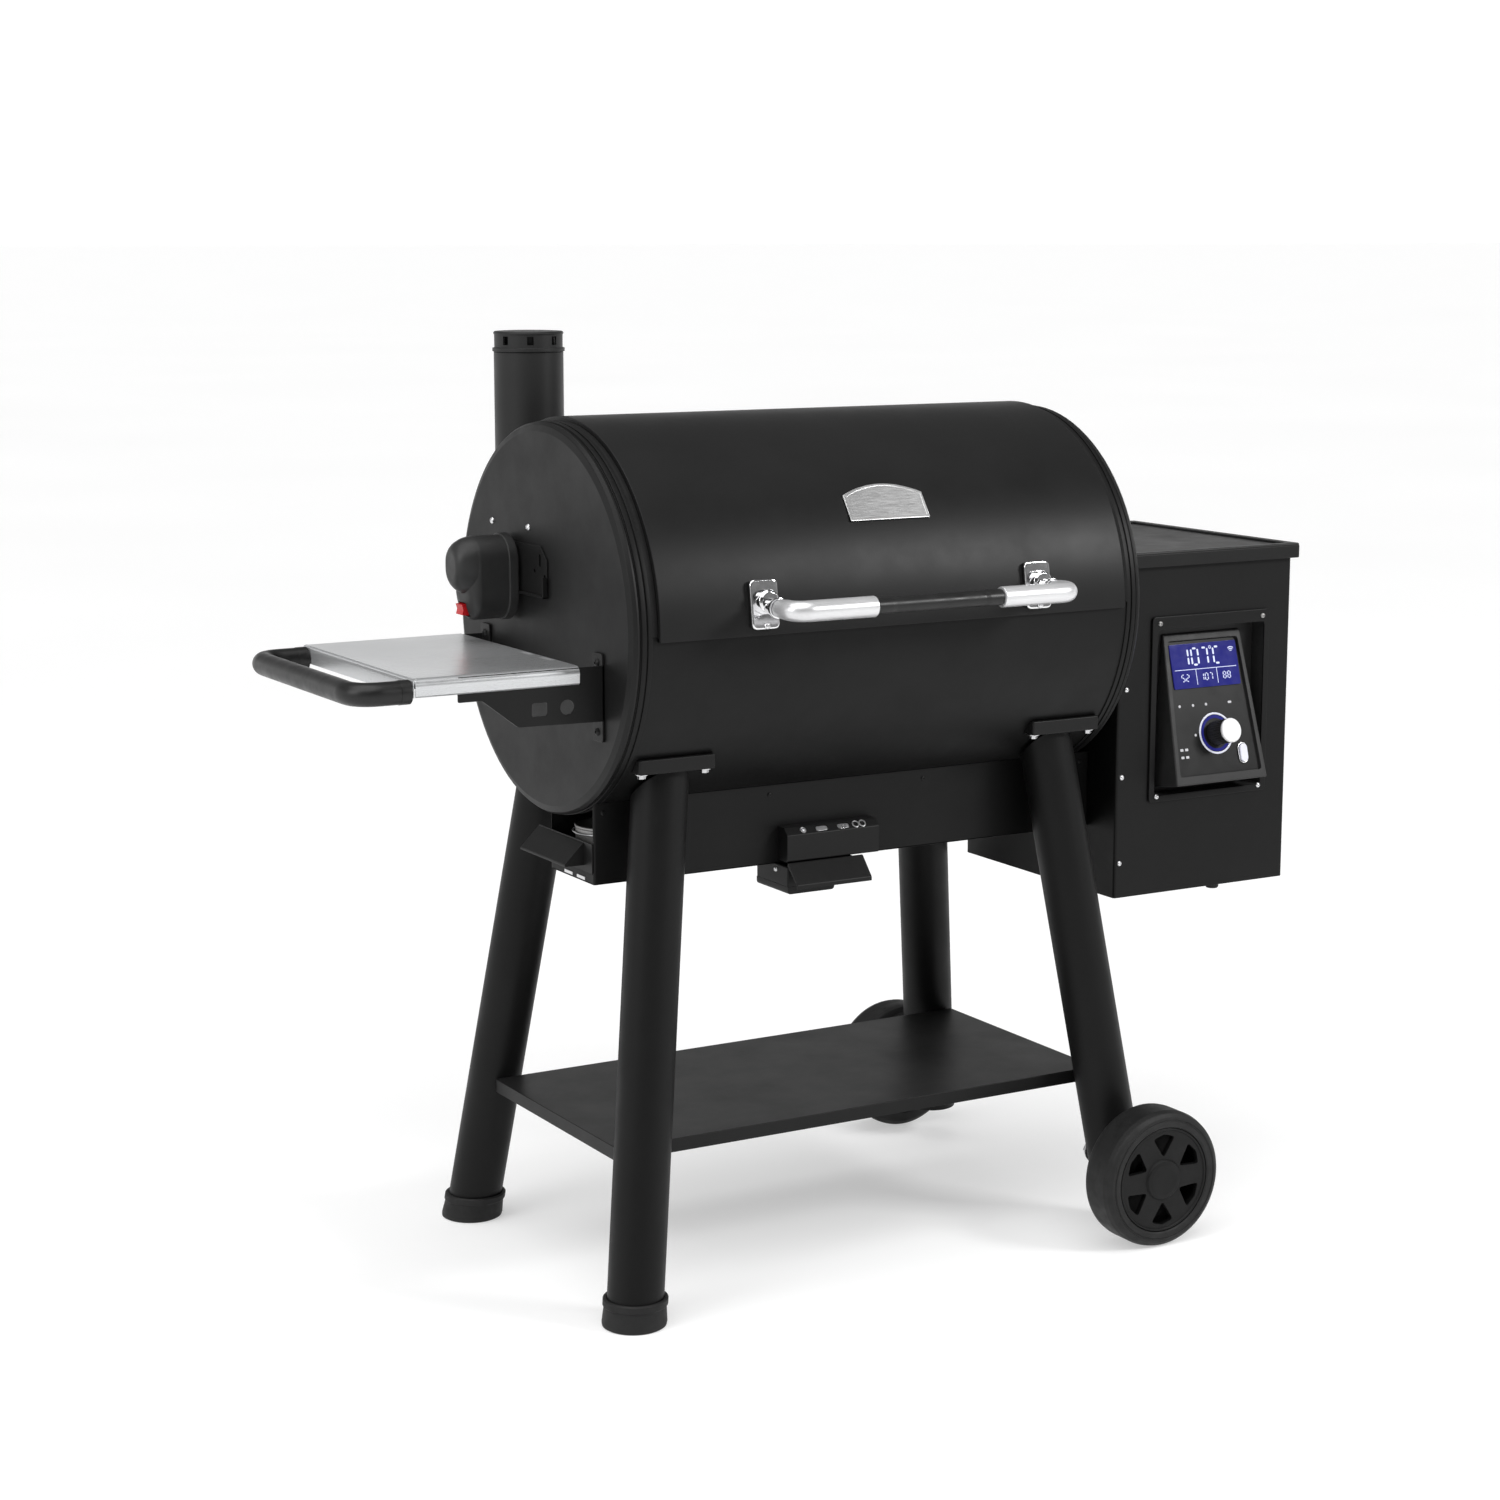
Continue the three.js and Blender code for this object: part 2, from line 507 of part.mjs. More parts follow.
function legColumn(sx, sy, r, z0, z1) {
  const far = 60;
  const slanted = strut(legAt(sx, sy, z0 - far), legAt(sx, sy, z1 + far), r, 20);
  return slanted.intersect(box(-BEYOND, BEYOND, -FULL, FULL, z0, z1));
}

function leg(sx, sy) {
  const bottom = sx < 0 ? FOOT.floor + GAP : LEG.stub;
  const inside = legColumn(sx, sy, LEG.r - LEG.wall, bottom + LEG.wall, LEG.top + 50);
  const tube = cut(legColumn(sx, sy, LEG.r, bottom, LEG.top), inside);
  const saddle = barrelCylinder(BARREL.outer + BRACKET.shell + 4 * GAP);
  const axle = rod("y", WHEEL.axleR + 2 * GAP, -BEYOND, BEYOND, WHEEL.x, WHEEL.r, 10);
  return sx < 0 ? cut(tube, saddle) : cut(tube, saddle, axle);
}

function legBracket(sx, sy) {
  const { x, half, shell, flange, lipZ0, lipZ1, lipY } = BRACKET;
  const [r0, cx] = [BARREL.outer + GAP, sx * x];
  const [a0, a1] = sy < 0 ? [-61, -39] : [-141, -119];
  const band = (x0, x1, r1) => barrelSector(r0, r1, a0, a1, x0, x1, 4);
  const [y0, y1] = sy < 0 ? [lipY, -170] : [170, -lipY];
  const lip = cut(box(cx - half, cx + half, y0, y1, lipZ0, lipZ1), barrelCylinder(r0));
  const cheeks = [band(cx - half, cx - half + 3, r0 + flange), band(cx + half - 3, cx + half, r0 + flange)];
  const saddle = union([band(cx - half, cx + half, r0 + shell), ...cheeks]);
  return saddle.intersect(box(-BEYOND, BEYOND, -BEYOND, BEYOND, 500, lipZ1)).add(lip);
}

function footCap(sy) {
  const cup = legColumn(-1, sy, FOOT.r, 0, FOOT.height);
  return cut(cup, legColumn(-1, sy, LEG.r + GAP, FOOT.floor, FOOT.height + 1));
}

/** Tyre section turned about the wheel's axle. */
function tyre(sy) {
  const { r, y0, y1, hubR, x } = WHEEL;
  const width = y1 - y0;
  const [inner, round] = [hubR + GAP, 7];
  const profile = [[inner, 0], [r - round, 0], [r, round], [r, width - round], [r - round, width],
    [inner, width], [inner, 0]];
  return turned(profile, "y", [x, sy > 0 ? y0 : -y1, r], 40);
}

/** Disc with six tapered windows, outer rim, centre boss and a plain disc behind. */
function hub(sy) {
  const { y0, y1, hubR, x, r, axleR } = WHEEL;
  const [face, back] = [y1 - 3, y1 - 40];
  const span = (a, b) => (sy > 0 ? [a, b] : [-b, -a]);
  const disc = rod("y", hubR, ...span(face - 9, face), x, r, 36);
  const outside = rod("y", hubR, ...span(back, face), x, r, 36);
  const rim = cut(outside, rod("y", hubR - 4, ...span(back + 2, face + 1), x, r, 36));
  const boss = rod("y", 19, ...span(y0 - 6, y1), x, r, 16);
  const windows = Array.from({ length: 6 }, (_, i) => {
    const at = (radius, angle) =>
      [x + radius * Math.cos(degrees(angle)), r + radius * Math.sin(degrees(angle))];
    const mid = 60 * i + 30;
    const outline = [at(28, mid - 10), at(58, mid - 22), at(61, mid), at(58, mid + 22), at(28, mid + 10)];
    return prism(outline, "y", ...span(face - 20, face + 5));
  });
  const bore = rod("y", axleR + 2 * GAP, ...span(y0 - 20, y1 - 6), x, r, 10);
  return cut(union([cut(disc, ...windows), rim, boss]), bore);
}

function axleBolt(sy) {
  const inside = LEG.footY - LEG.splay * WHEEL.r - LEG.r;
  const span = (a, b) => (sy > 0 ? [a, b] : [-b, -a]);
  const shank = rod("y", WHEEL.axleR, ...span(inside - 4, WHEEL.y1 - 7), WHEEL.x, WHEEL.r, 12);
  return shank.add(rod("y", 14, ...span(inside - 12, inside - 4), WHEEL.x, WHEEL.r, 6));
}

function lowerShelf() {
  const { halfX, halfY, top, lip, sheet } = SHELF;
  const tray = cut(
    box(-halfX, halfX, -halfY, halfY, top - lip, top),
    box(-halfX + sheet, halfX - sheet, -halfY + sheet, halfY - sheet, top - lip - 1, top - sheet),
  );
  const column = ([, sx, sy]) => legColumn(sx, sy, LEG.r + GAP, 150, 250);
  return cut(tray, ...CORNERS.map(column));
}

const CORNERS = [["front_left", -1, -1], ["back_left", -1, 1], ["front_right", 1, -1], ["back_right", 1, 1]];
for (const [corner, sx, sy] of CORNERS) {
  add(`leg_${corner}`, leg(sx, sy), BLACK_PAINT);
  add(`leg_bracket_${corner}`, legBracket(sx, sy), BLACK_PAINT);
}
for (const [end, sy] of [["front", -1], ["back", 1]]) {
  add(`foot_cap_${end}`, footCap(sy), RUBBER);
  add(`tyre_${end}`, tyre(sy), RUBBER);
  add(`wheel_hub_${end}`, hub(sy), DARK_PLASTIC);
  add(`axle_bolt_${end}`, axleBolt(sy), STEEL);
}
add("lower_shelf", lowerShelf(), BLACK_PAINT);

// ---- hopper -------------------------------------------------------------------
/** Walls and floor, the duct to the barrel, a stub knob below and the lid's hinge rod behind. */
function hopperBox() {
  const { x0, x1, half, z0, z1, wall } = HOPPER;
  const inside = box(x0 + wall, x1 - wall, -half + wall, half - wall, z0 + wall, z1 + 1);
  const d = DUCT;
  const duct = cut(
    box(d.x0, x0 + 1, -d.half, d.half, d.z0, d.z1),
    box(d.x0 - 1, x0, -d.half + d.wall, d.half - d.wall, d.z0 + d.wall, d.z1 - d.wall),
  );
  const knob = rod("z", STUB.r, z0 - STUB.drop, z0 + 1, STUB.x, STUB.y, 12);
  const [armZ0, armZ1] = [HOPPER_PIN.z - 6, HOPPER_PIN.z - 1.4];
  const arms = [440, 600].map((x) => box(x, x + 20, half - 1, HOPPER_PIN.y, armZ0, armZ1));
  const hingeRod = rod("x", HOPPER_PIN.r, 436, 624, HOPPER_PIN.y, HOPPER_PIN.z, 12);
  return cut(
    union([cut(box(x0, x1, -half, half, z0, z1), inside), duct, knob, ...arms, hingeRod]),
    rod("x", AUGER.tubeR + GAP, 380, 395, 0, AUGER.z, 20),
    box(445, 560, -100, 100, z0 - 5, z0 + 5),
    box(PANEL.x - WINDOW.half, PANEL.x + WINDOW.half, -half - 5, -half + 5, WINDOW.z0, WINDOW.z1),
  );
}

/** Inner faces of the pellet bin, clear of the hopper's walls. */
const bin = {
  x0: HOPPER.x0 + HOPPER.wall + GAP,
  x1: HOPPER.x1 - HOPPER.wall - GAP,
  back: HOPPER.half - HOPPER.wall - GAP,
};

/** Four-sided funnel from the bin's plan down to the throat, with an upright rim. */
function funnel(grow, zTop, zBottom) {
  const [tx0, tx1] = BIN.throatX;
  const rim = 2 * grow + 0.01;
  const points = [];
  for (const x of [bin.x0, bin.x1]) {
    for (const y of [BIN.front, bin.back]) points.push([x, y, zTop], [x, y, zTop - rim]);
  }
  for (const x of [tx0 - grow, tx1 + grow]) {
    for (const y of [-BIN.throatHalf - grow, BIN.throatHalf + grow]) points.push([x, y, zBottom]);
  }
  return hull(points);
}

/** Sheet bin inside the hopper: front wall with a ledge, funnel and throat. */
function hopperBin() {
  const { z1, half, wall } = HOPPER;
  const [tx0, tx1] = BIN.throatX;
  const t = BIN.throatHalf;
  const partition = box(bin.x0, bin.x1, BIN.front - wall, BIN.front, BIN.slopeTop - wall, z1);
  const ledge = box(bin.x0, bin.x1, -half + wall + GAP, BIN.front, z1 - wall, z1);
  const throat = box(tx0 - wall, tx1 + wall, -t - wall, t + wall, BIN.throatEnd, BIN.throatZ + wall);
  return cut(
    union([partition, ledge, throat, funnel(wall, BIN.slopeTop, BIN.throatZ)]),
    funnel(0, BIN.slopeTop + 0.01, BIN.throatZ - 0.01),
    box(tx0, tx1, -t, t, BIN.throatEnd - 9, BIN.throatZ + wall + 1),
  );
}

function hopperLid() {
  const { x0, x1, half, top } = HOPPER_LID;
  const z0 = HOPPER.z1 + GAP;
  const slab = cut(box(x0, x1, -half, half, z0, top), box(x0 + 14, x1 - 16, -160, 160, z0 - 1, top - 3));
  const knuckle = (x) =>
    rod("x", HOPPER_PIN.knuckle, x, x + 34, HOPPER_PIN.y, HOPPER_PIN.z, 12).add(
      box(x, x + 34, half - 2, HOPPER_PIN.y, HOPPER_PIN.z + 1, HOPPER_PIN.z + HOPPER_PIN.knuckle));
  const whole = union([slab, knuckle(480), knuckle(546)]);
  return cut(whole, rod("x", HOPPER_PIN.r + GAP, 300, 700, HOPPER_PIN.y, HOPPER_PIN.z, 12));
}

/** Frame on the hopper's face with a sheet pan behind it. */
function controlBezel() {
  const face = -HOPPER.half - GAP;
  const c = PANEL.x;
  const frame = box(c - 99, c + 99, face - 3, face, 555, 804);
  const pan = box(c - 92, c + 92, face - 3, -150, 562, 789);
  return cut(frame.add(pan), box(c - 90.5, c + 90.5, face - 5, -151.5, 563.5, 787.5));
}

/** Tilted control housing: a wedge that stands out at its lower edge, with a recessed face. */
function controlPanel() {
  const { x, top, bottom, topY, bottomY, topHalf, bottomHalf } = PANEL;
  const back = -152;
  const points = [];
  for (const s of [-1, 1]) {
    points.push([x + s * topHalf, topY, top], [x + s * bottomHalf, bottomY, bottom]);
    points.push([x + s * topHalf, back, top + 2], [x + s * bottomHalf, back, bottom - 9]);
  }
  const outline = [[-59, -8], [59, -8], [69, -191], [-69, -191]].reverse();
  const recess = prismGeometry(outline, "z", -5, 5);
  recess.applyMatrix4(controls.matrix);
  return cut(hull(points), solid(recess));
}

// Frame of the tilted face: x along it, y up the slope, z out of it.
const controls = new THREE.Group();
controls.position.set(PANEL.x, PANEL.topY, PANEL.top);
controls.rotation.x = Math.PI / 2 - Math.atan2(PANEL.topY - PANEL.bottomY, PANEL.top - PANEL.bottom);
controls.updateMatrix();
grill.add(controls);

const RECESS = -5 + GAP;
add("hopper_box", hopperBox(), BLACK_PAINT);
add("hopper_bin", hopperBin(), STEEL);
add("hopper_lid", hopperLid(), BLACK_PAINT);
add("control_bezel", controlBezel(), BLACK_PAINT);
add("control_panel", controlPanel(), DARK_PLASTIC);
add("display_window", box(-56, 56, -73, -13, RECESS, RECESS + 1.6), DISPLAY, controls);
add("control_knob", rod("z", KNOB.r, RECESS, RECESS + KNOB.length, KNOB.u, KNOB.v, 24), CHROME, controls);
const BUTTON = [...arc(43, -160, 6, 0, 180, 6), ...arc(43, -172, 6, 180, 360, 6)];
add("start_button", prism(BUTTON, "z", RECESS + 2, RECESS + 5), STEEL, controls);
add("power_inlet", box(600, 640, HOPPER.half + GAP, HOPPER.half + 9, 470, 500).subtract(
  box(606, 634, HOPPER.half + 3, HOPPER.half + 10, 476, 494)), DARK_PLASTIC);

// ---- chimney ------------------------------------------------------------------
function stackTube() {
  const { x, y, r, wall, z0, z1, stubZ, stubR } = STACK;
  const outside = rod("z", r, z0, z1, x, y, 28).add(rod("y", stubR, 150, y, x, stubZ, 20));
  const stubBore = rod("y", stubR - wall, 140, y, x, stubZ, 20);
  const inside = rod("z", r - wall, z0 + wall, z1 + 1, x, y, 28).add(stubBore);
  return cut(outside, inside, barrelCylinder(BARREL.outer + GAP));
}

/** Cap with a wider skirt and a row of smoke windows. */
function stackCap() {
  const { x, y, z1, top } = STACK;
  const z0 = z1 + GAP;
  const profile = [
    [0, top - 2], [42, top - 2], [43, z0], [47.5, z0], [47.5, z0 + 4], [45, z0 + 5], [44.5, top], [0, top],
  ];
  const windows = Array.from({ length: 4 }, (_, i) => {
    const geometry = new THREE.BoxGeometry(120, 9, 11);
    geometry.rotateZ(((i + 0.5) * Math.PI) / 4);
    return solid(geometry.translate(x, y, z0 + 15));
  });
  return cut(turned(profile, "z", [x, y, 0], 24), ...windows);
}

add("stack_tube", stackTube(), BLACK_PAINT);
add("stack_cap", stackCap(), BLACK_PAINT);

// ---- side shelf -----------------------------------------------------------------
function sideShelf() {
  const { x0, x1, half, top, lip, sheet } = SIDE;
  return cut(
    box(x0, x1, -half, half, top - lip, top),
    box(x0 + sheet, x1 + 1, -half + sheet, half - sheet, top - lip - 1, top - sheet),
  );
}

function shelfHandle() {
  const { r, x, y, z, bend } = SIDE_TUBE;
  const end = SIDE.x0 - GAP;
  return bentTube([[end, -y, z], [x, -y, z], [x, y, z], [end, y, z]], bend, r, 12, 24);
}

/** Arm under the shelf with a flange bolted to the end cap. */
function shelfBracket(sy) {
  const [x1, z1, t] = [-CAP_FACE - GAP, SIDE.top - SIDE.sheet - GAP, 3];
  const y = SIDE.half - SIDE.sheet - GAP;
  const span = (a, b) => (sy > 0 ? [a, b] : [-b, -a]);
  const [end, low] = [-560, 730];
  const outline = [[end, low + 40], [end + 30, low + 40], [-482, low + 3], [x1, low], [x1, z1], [end, z1]];
  const arm = prism(outline, "y", ...span(y - t, y));
  const flange = box(x1 - t, x1, ...span(y - 26, y), 705, 812);
  return arm.add(flange);
}

add("side_shelf", sideShelf(), STEEL);
add("shelf_handle", shelfHandle(), DARK_PLASTIC);
add("shelf_bracket_front", shelfBracket(-1), BLACK_PAINT);
add("shelf_bracket_back", shelfBracket(1), BLACK_PAINT);

// ---- rotisserie drive -------------------------------------------------------------
function stadium(half, z0, z1, steps) {
  const [top, low] = [z1 - half, z0 + half];
  return [...arc(SPIT.y, top, half, 0, 180, steps), ...arc(SPIT.y, low, half, 180, 360, steps)];
}

const SWITCH = { y: 84, z: 842, halfY: 11, halfZ: 9 };

function rotisserieMotor() {
  const { half, z0, z1, x0, x1 } = MOTOR;
  const plate = box(x1 - 1, -CAP_FACE - GAP, -22, 118, 852, 932);
  const body = prism(stadium(half, z0, z1, 10), "x", x0, x1);
  const nose = prism(stadium(half - 5, 856, z1 - 4, 8), "x", x0 - 14, x0 + 1);
  const { y, z, halfY, halfZ } = SWITCH;
  const pocket = box(x0 - 1, x0 + 6, y - halfY, y + halfY, z - halfZ, z + halfZ);
  const socket = rod("x", SPIT.r + 1, x1, -FULL + 60, SPIT.y, SPIT.z, 12);
  return cut(union([plate, body, nose]), pocket, socket);
}

function rocker() {
  const { y, z, halfY, halfZ } = SWITCH;
  const [dy, dz] = [halfY - 1.5, halfZ - 1.5];
  return box(MOTOR.x0 - 2.5, MOTOR.x0 + 3.5, y - dy, y + dy, z - dz, z + dz);
}

add("rotisserie_motor", rotisserieMotor(), DARK_PLASTIC);
add("rotisserie_switch", rocker(), RED_PLASTIC);

export default grill;
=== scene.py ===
"""Looks of a pellet smoker grill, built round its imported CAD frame. Shapes are written in millimetres."""
import json
import math

import bmesh
import bpy
from mathutils import Matrix, Vector


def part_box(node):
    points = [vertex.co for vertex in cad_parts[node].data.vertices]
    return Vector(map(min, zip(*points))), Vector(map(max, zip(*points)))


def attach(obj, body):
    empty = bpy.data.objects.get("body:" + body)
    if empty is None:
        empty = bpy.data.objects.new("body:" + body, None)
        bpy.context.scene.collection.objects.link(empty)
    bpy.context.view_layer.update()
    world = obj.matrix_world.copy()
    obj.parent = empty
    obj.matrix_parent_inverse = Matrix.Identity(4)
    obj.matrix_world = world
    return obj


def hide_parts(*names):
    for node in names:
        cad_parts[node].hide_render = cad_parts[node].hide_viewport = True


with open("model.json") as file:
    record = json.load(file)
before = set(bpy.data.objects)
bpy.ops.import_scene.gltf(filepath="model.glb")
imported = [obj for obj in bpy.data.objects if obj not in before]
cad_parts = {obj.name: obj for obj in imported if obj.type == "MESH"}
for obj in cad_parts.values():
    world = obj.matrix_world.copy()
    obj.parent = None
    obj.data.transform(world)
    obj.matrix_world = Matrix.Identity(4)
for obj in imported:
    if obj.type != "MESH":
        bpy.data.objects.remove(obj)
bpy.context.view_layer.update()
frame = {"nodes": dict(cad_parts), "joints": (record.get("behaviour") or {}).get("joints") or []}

MM = 0.001
SHARP_ANGLE = 35
SIDES = (("left", -1), ("right", 1))
ENDS = (("front", -1), ("back", 1))


def extent(node):
    """A CAD node's box in millimetres: x0, y0, z0, x1, y1, z1."""
    low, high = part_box(node)
    return [c / MM for c in (*low, *high)]


# ---- outlines -------------------------------------------------------------
def spread(start, end, steps):
    return [start + (end - start) * i / steps for i in range(steps + 1)]


def rounded(points, radius, steps=4, closed=True):
    """Outline or path whose corners are rounded; radius is one number or one for each point."""
    radii = radius if isinstance(radius, (list, tuple)) else [radius] * len(points)
    out = []
    for i, (point, r) in enumerate(zip(points, radii)):
        corner = Vector(point)
        at_end = not closed and i in (0, len(points) - 1)
        if r <= 0 or at_end:
            out.append(corner)
            continue
        back = Vector(points[i - 1]) - corner
        ahead = Vector(points[(i + 1) % len(points)]) - corner
        reach = min(r / math.tan(back.angle(ahead) / 2), back.length * 0.49, ahead.length * 0.49)
        start = corner + back.normalized() * reach
        end = corner + ahead.normalized() * reach
        out += [start * (1 - t) ** 2 + corner * 2 * t * (1 - t) + end * t ** 2 for t in spread(0, 1, steps)]
    return out


def polar(cx, cy, r, angle):
    a = math.radians(angle)
    return (cx + r * math.cos(a), cy + r * math.sin(a))


def arc(cx, cy, r, start, end, steps):
    return [polar(cx, cy, r, angle) for angle in spread(start, end, steps)]


def circle(cx, cy, r, sides=32):
    return arc(cx, cy, r, 0, 360, sides)[:-1]


def stadium(cx, low, high, r, steps):
    """Upright slot shape; low and high are its arcs' centres."""
    return arc(cx, high, r, 0, 180, steps) + arc(cx, low, r, 180, 360, steps)


def rectangle(u0, v0, u1, v1, radius=0, steps=4):
    return rounded([(u0, v0), (u1, v0), (u1, v1), (u0, v1)], radius, steps)


def inset(plan, by, radius=0):
    """Rectangle that lies inside a plan (u0, v0, u1, v1) by a margin."""
    u0, v0, u1, v1 = plan
    return rectangle(u0 + by, v0 + by, u1 - by, v1 - by, radius)


# ---- shapes ---------------------------------------------------------------
def on_axis(axis, u, v, w):
    """Point whose w runs along the axis; u and v are the other two coordinates in order."""
    return {"x": (w, u, v), "y": (u, w, v), "z": (u, v, w)}[axis]


def raw(points, faces):
    bm = bmesh.new()
    verts = [bm.verts.new(p) for p in points]
    for face in faces:
        bm.faces.new([verts[i] for i in face])
    bmesh.ops.recalc_face_normals(bm, faces=bm.faces)
    return bm


def soften(bm, width, segments=2, angle=30):
    """Rounds every edge sharper than the angle."""
    if width <= 0:
        return bm
    limit = math.radians(angle)
    edges = [e for e in bm.edges if len(e.link_faces) == 2 and e.calc_face_angle(0) > limit]
    bmesh.ops.bevel(bm, geom=edges, offset=width, segments=segments, profile=0.5,
                    affect="EDGES", clamp_overlap=True)
    return bm


def prism(outline, axis, start, end, edge=0.8, segments=2):
    n = len(outline)
    points = [on_axis(axis, u, v, w) for w in (start, end) for u, v in outline]
    sides = [(i, (i + 1) % n, n + (i + 1) % n, n + i) for i in range(n)]
    return soften(raw(points, [tuple(range(n)), tuple(range(n, 2 * n)), *sides]), edge, segments)


def block(x0, y0, z0, x1, y1, z1, edge=0.8, segments=2):
    return prism(rectangle(x0, y0, x1, y1), "z", z0, z1, edge, segments)


def lathe(profile, axis, at, sides=64, closed=False):
    """Profile of (radius, height) points turned about an axis through `at`."""
    points, rings = [], []
    for r, h in profile:
        if r < 1e-6:
            rings.append([len(points)] * sides)
            points.append(Vector(on_axis(axis, 0, 0, h)) + Vector(at))
            continue
        rings.append(range(len(points), len(points) + sides))
        points += [Vector(on_axis(axis, u, v, h)) + Vector(at) for u, v in circle(0, 0, r, sides)]
    pairs = list(zip(rings, rings[1:] + rings[:1]))
    faces = []
    for low, high in pairs if closed else pairs[:-1]:
        for i in range(sides):
            j = (i + 1) % sides
            face = list(dict.fromkeys([low[i], low[j], high[j], high[i]]))
            if len(face) > 2:
                faces.append(face)
    return raw(points, faces)


def turned(profile, radius, axis, at, sides=64, closed=False, steps=3):
    """Lathe of a profile with rounded corners."""
    return lathe(rounded(profile, radius, steps, closed), axis, at, sides, closed)


def hoop(r0, r1, h0, h1, axis, at, sides=64, edge=0):
    """Ring of rectangular section."""
    profile = [(r0, h0), (r1, h0), (r1, h1), (r0, h1)]
    return lathe(rounded(profile, edge, 2) if edge else profile, axis, at, sides, closed=True)


def drum(r, h0, h1, axis, at, sides=48, high=0):
    """Solid cylinder; high rounds its upper rim."""
    profile = [(0, h0), (r, h0), (r, h1), (0, h1)]
    return lathe(rounded(profile, [0, 0, high, 0]) if high else profile, axis, at, sides)


def sweep(path, radius, sides=24, edge=0.8):
    """Round bar along a path; radius is a number or one for each point."""
    path = [Vector(p) for p in path]
    radii = radius if isinstance(radius, (list, tuple)) else [radius] * len(path)
    last = len(path) - 1
    points, side = [], None
    for i, (centre, r) in enumerate(zip(path, radii)):
        along = (path[min(i + 1, last)] - path[max(i - 1, 0)]).normalized()
        side = along.orthogonal() if side is None else side - along * side.dot(along)
        side.normalize()
        up = along.cross(side)
        points += [centre + side * u + up * v for u, v in circle(0, 0, r, sides)]
    faces = [tuple(range(sides)), tuple(range(last * sides, (last + 1) * sides))]
    for i in range(last):
        for k in range(sides):
            m = (k + 1) % sides
            faces.append((i * sides + k, i * sides + m, (i + 1) * sides + m, (i + 1) * sides + k))
    return soften(raw(points, faces), edge, angle=50)


def plate(outline, holes, axis, start, end, edge=0.5):
    """Flat plate with holes and rounded edges."""
    curve = bpy.data.curves.new("plate", "CURVE")
    curve.dimensions = "2D"
    curve.fill_mode = "BOTH"
    curve.extrude = (end - start) / 2 - edge
    curve.bevel_depth = edge
    curve.bevel_resolution = 1
    curve.offset = -edge
    for ring in [outline, *holes]:
        spline = curve.splines.new("POLY")
        spline.points.add(len(ring) - 1)
        for point, (u, v) in zip(spline.points, ring):
            point.co = (u, v, 0, 1)
        spline.use_cyclic_u = True
    holder = bpy.data.objects.new("plate", curve)
    mesh = bpy.data.meshes.new_from_object(holder)
    bm = bmesh.new()
    bm.from_mesh(mesh)
    bmesh.ops.remove_doubles(bm, verts=bm.verts, dist=1e-4)
    middle = (start + end) / 2
    for vert in bm.verts:
        vert.co = on_axis(axis, vert.co.x, vert.co.y, vert.co.z + middle)
    bmesh.ops.recalc_face_normals(bm, faces=bm.faces)
    bpy.data.objects.remove(holder)
    bpy.data.curves.remove(curve)
    bpy.data.meshes.remove(mesh)
    return bm


def placed(at, angle, axis):
    """Matrix of a turn about an axis, then a move."""
    return Matrix.Translation(at) @ Matrix.Rotation(math.radians(angle), 4, axis)


def moved(bm, matrix):
    bmesh.ops.transform(bm, matrix=matrix, verts=bm.verts)
    return bm


def joined(shapes):
    """One bmesh that holds several."""
    whole = bmesh.new()
    for shape in shapes:
        mesh = bpy.data.meshes.new("part")
        shape.to_mesh(mesh)
        whole.from_mesh(mesh)
        bpy.data.meshes.remove(mesh)
        shape.free()
    return whole


def linked(name, data):
    obj = bpy.data.objects.new(name, data)
    bpy.context.scene.collection.objects.link(obj)
    return obj


def holder_of(bm):
    mesh = bpy.data.meshes.new("holder")
    bm.to_mesh(mesh)
    bm.free()
    return linked("holder", mesh)


def carve(bm, *tools, operation="DIFFERENCE"):
    """Boolean of a shape with others."""
    target = holder_of(bm)
    cutters = [holder_of(tool) for tool in tools]
    for cutter in cutters:
        modifier = target.modifiers.new("cut", "BOOLEAN")
        modifier.operation = operation
        modifier.solver = "EXACT"
        modifier.object = cutter
    mesh = bpy.data.meshes.new_from_object(target.evaluated_get(bpy.context.evaluated_depsgraph_get()))
    result = bmesh.new()
    result.from_mesh(mesh)
    for obj in [target, *cutters]:
        bpy.data.meshes.remove(obj.data)
    bpy.data.meshes.remove(mesh)
    return result


def make(name, shapes, finish, *replaces, body="root", at=None):
    """Joins shapes into one object with its finish, riding on a body and standing for CAD nodes."""
    bm = joined(shapes)
    if at:
        moved(bm, at)
    bmesh.ops.scale(bm, vec=(MM, MM, MM), verts=bm.verts)
    mesh = bpy.data.meshes.new(name)
    bm.to_mesh(mesh)
    bm.free()
    mesh.shade_smooth()
    mesh.set_sharp_from_angle(angle=math.radians(SHARP_ANGLE))
    mesh.materials.append(finish.material)
    obj = linked(name, mesh)
    weighted = obj.modifiers.new("normals", "WEIGHTED_NORMAL")
    weighted.weight = 100
    weighted.keep_sharp = True
    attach(obj, body)
    if replaces:
        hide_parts(*replaces)


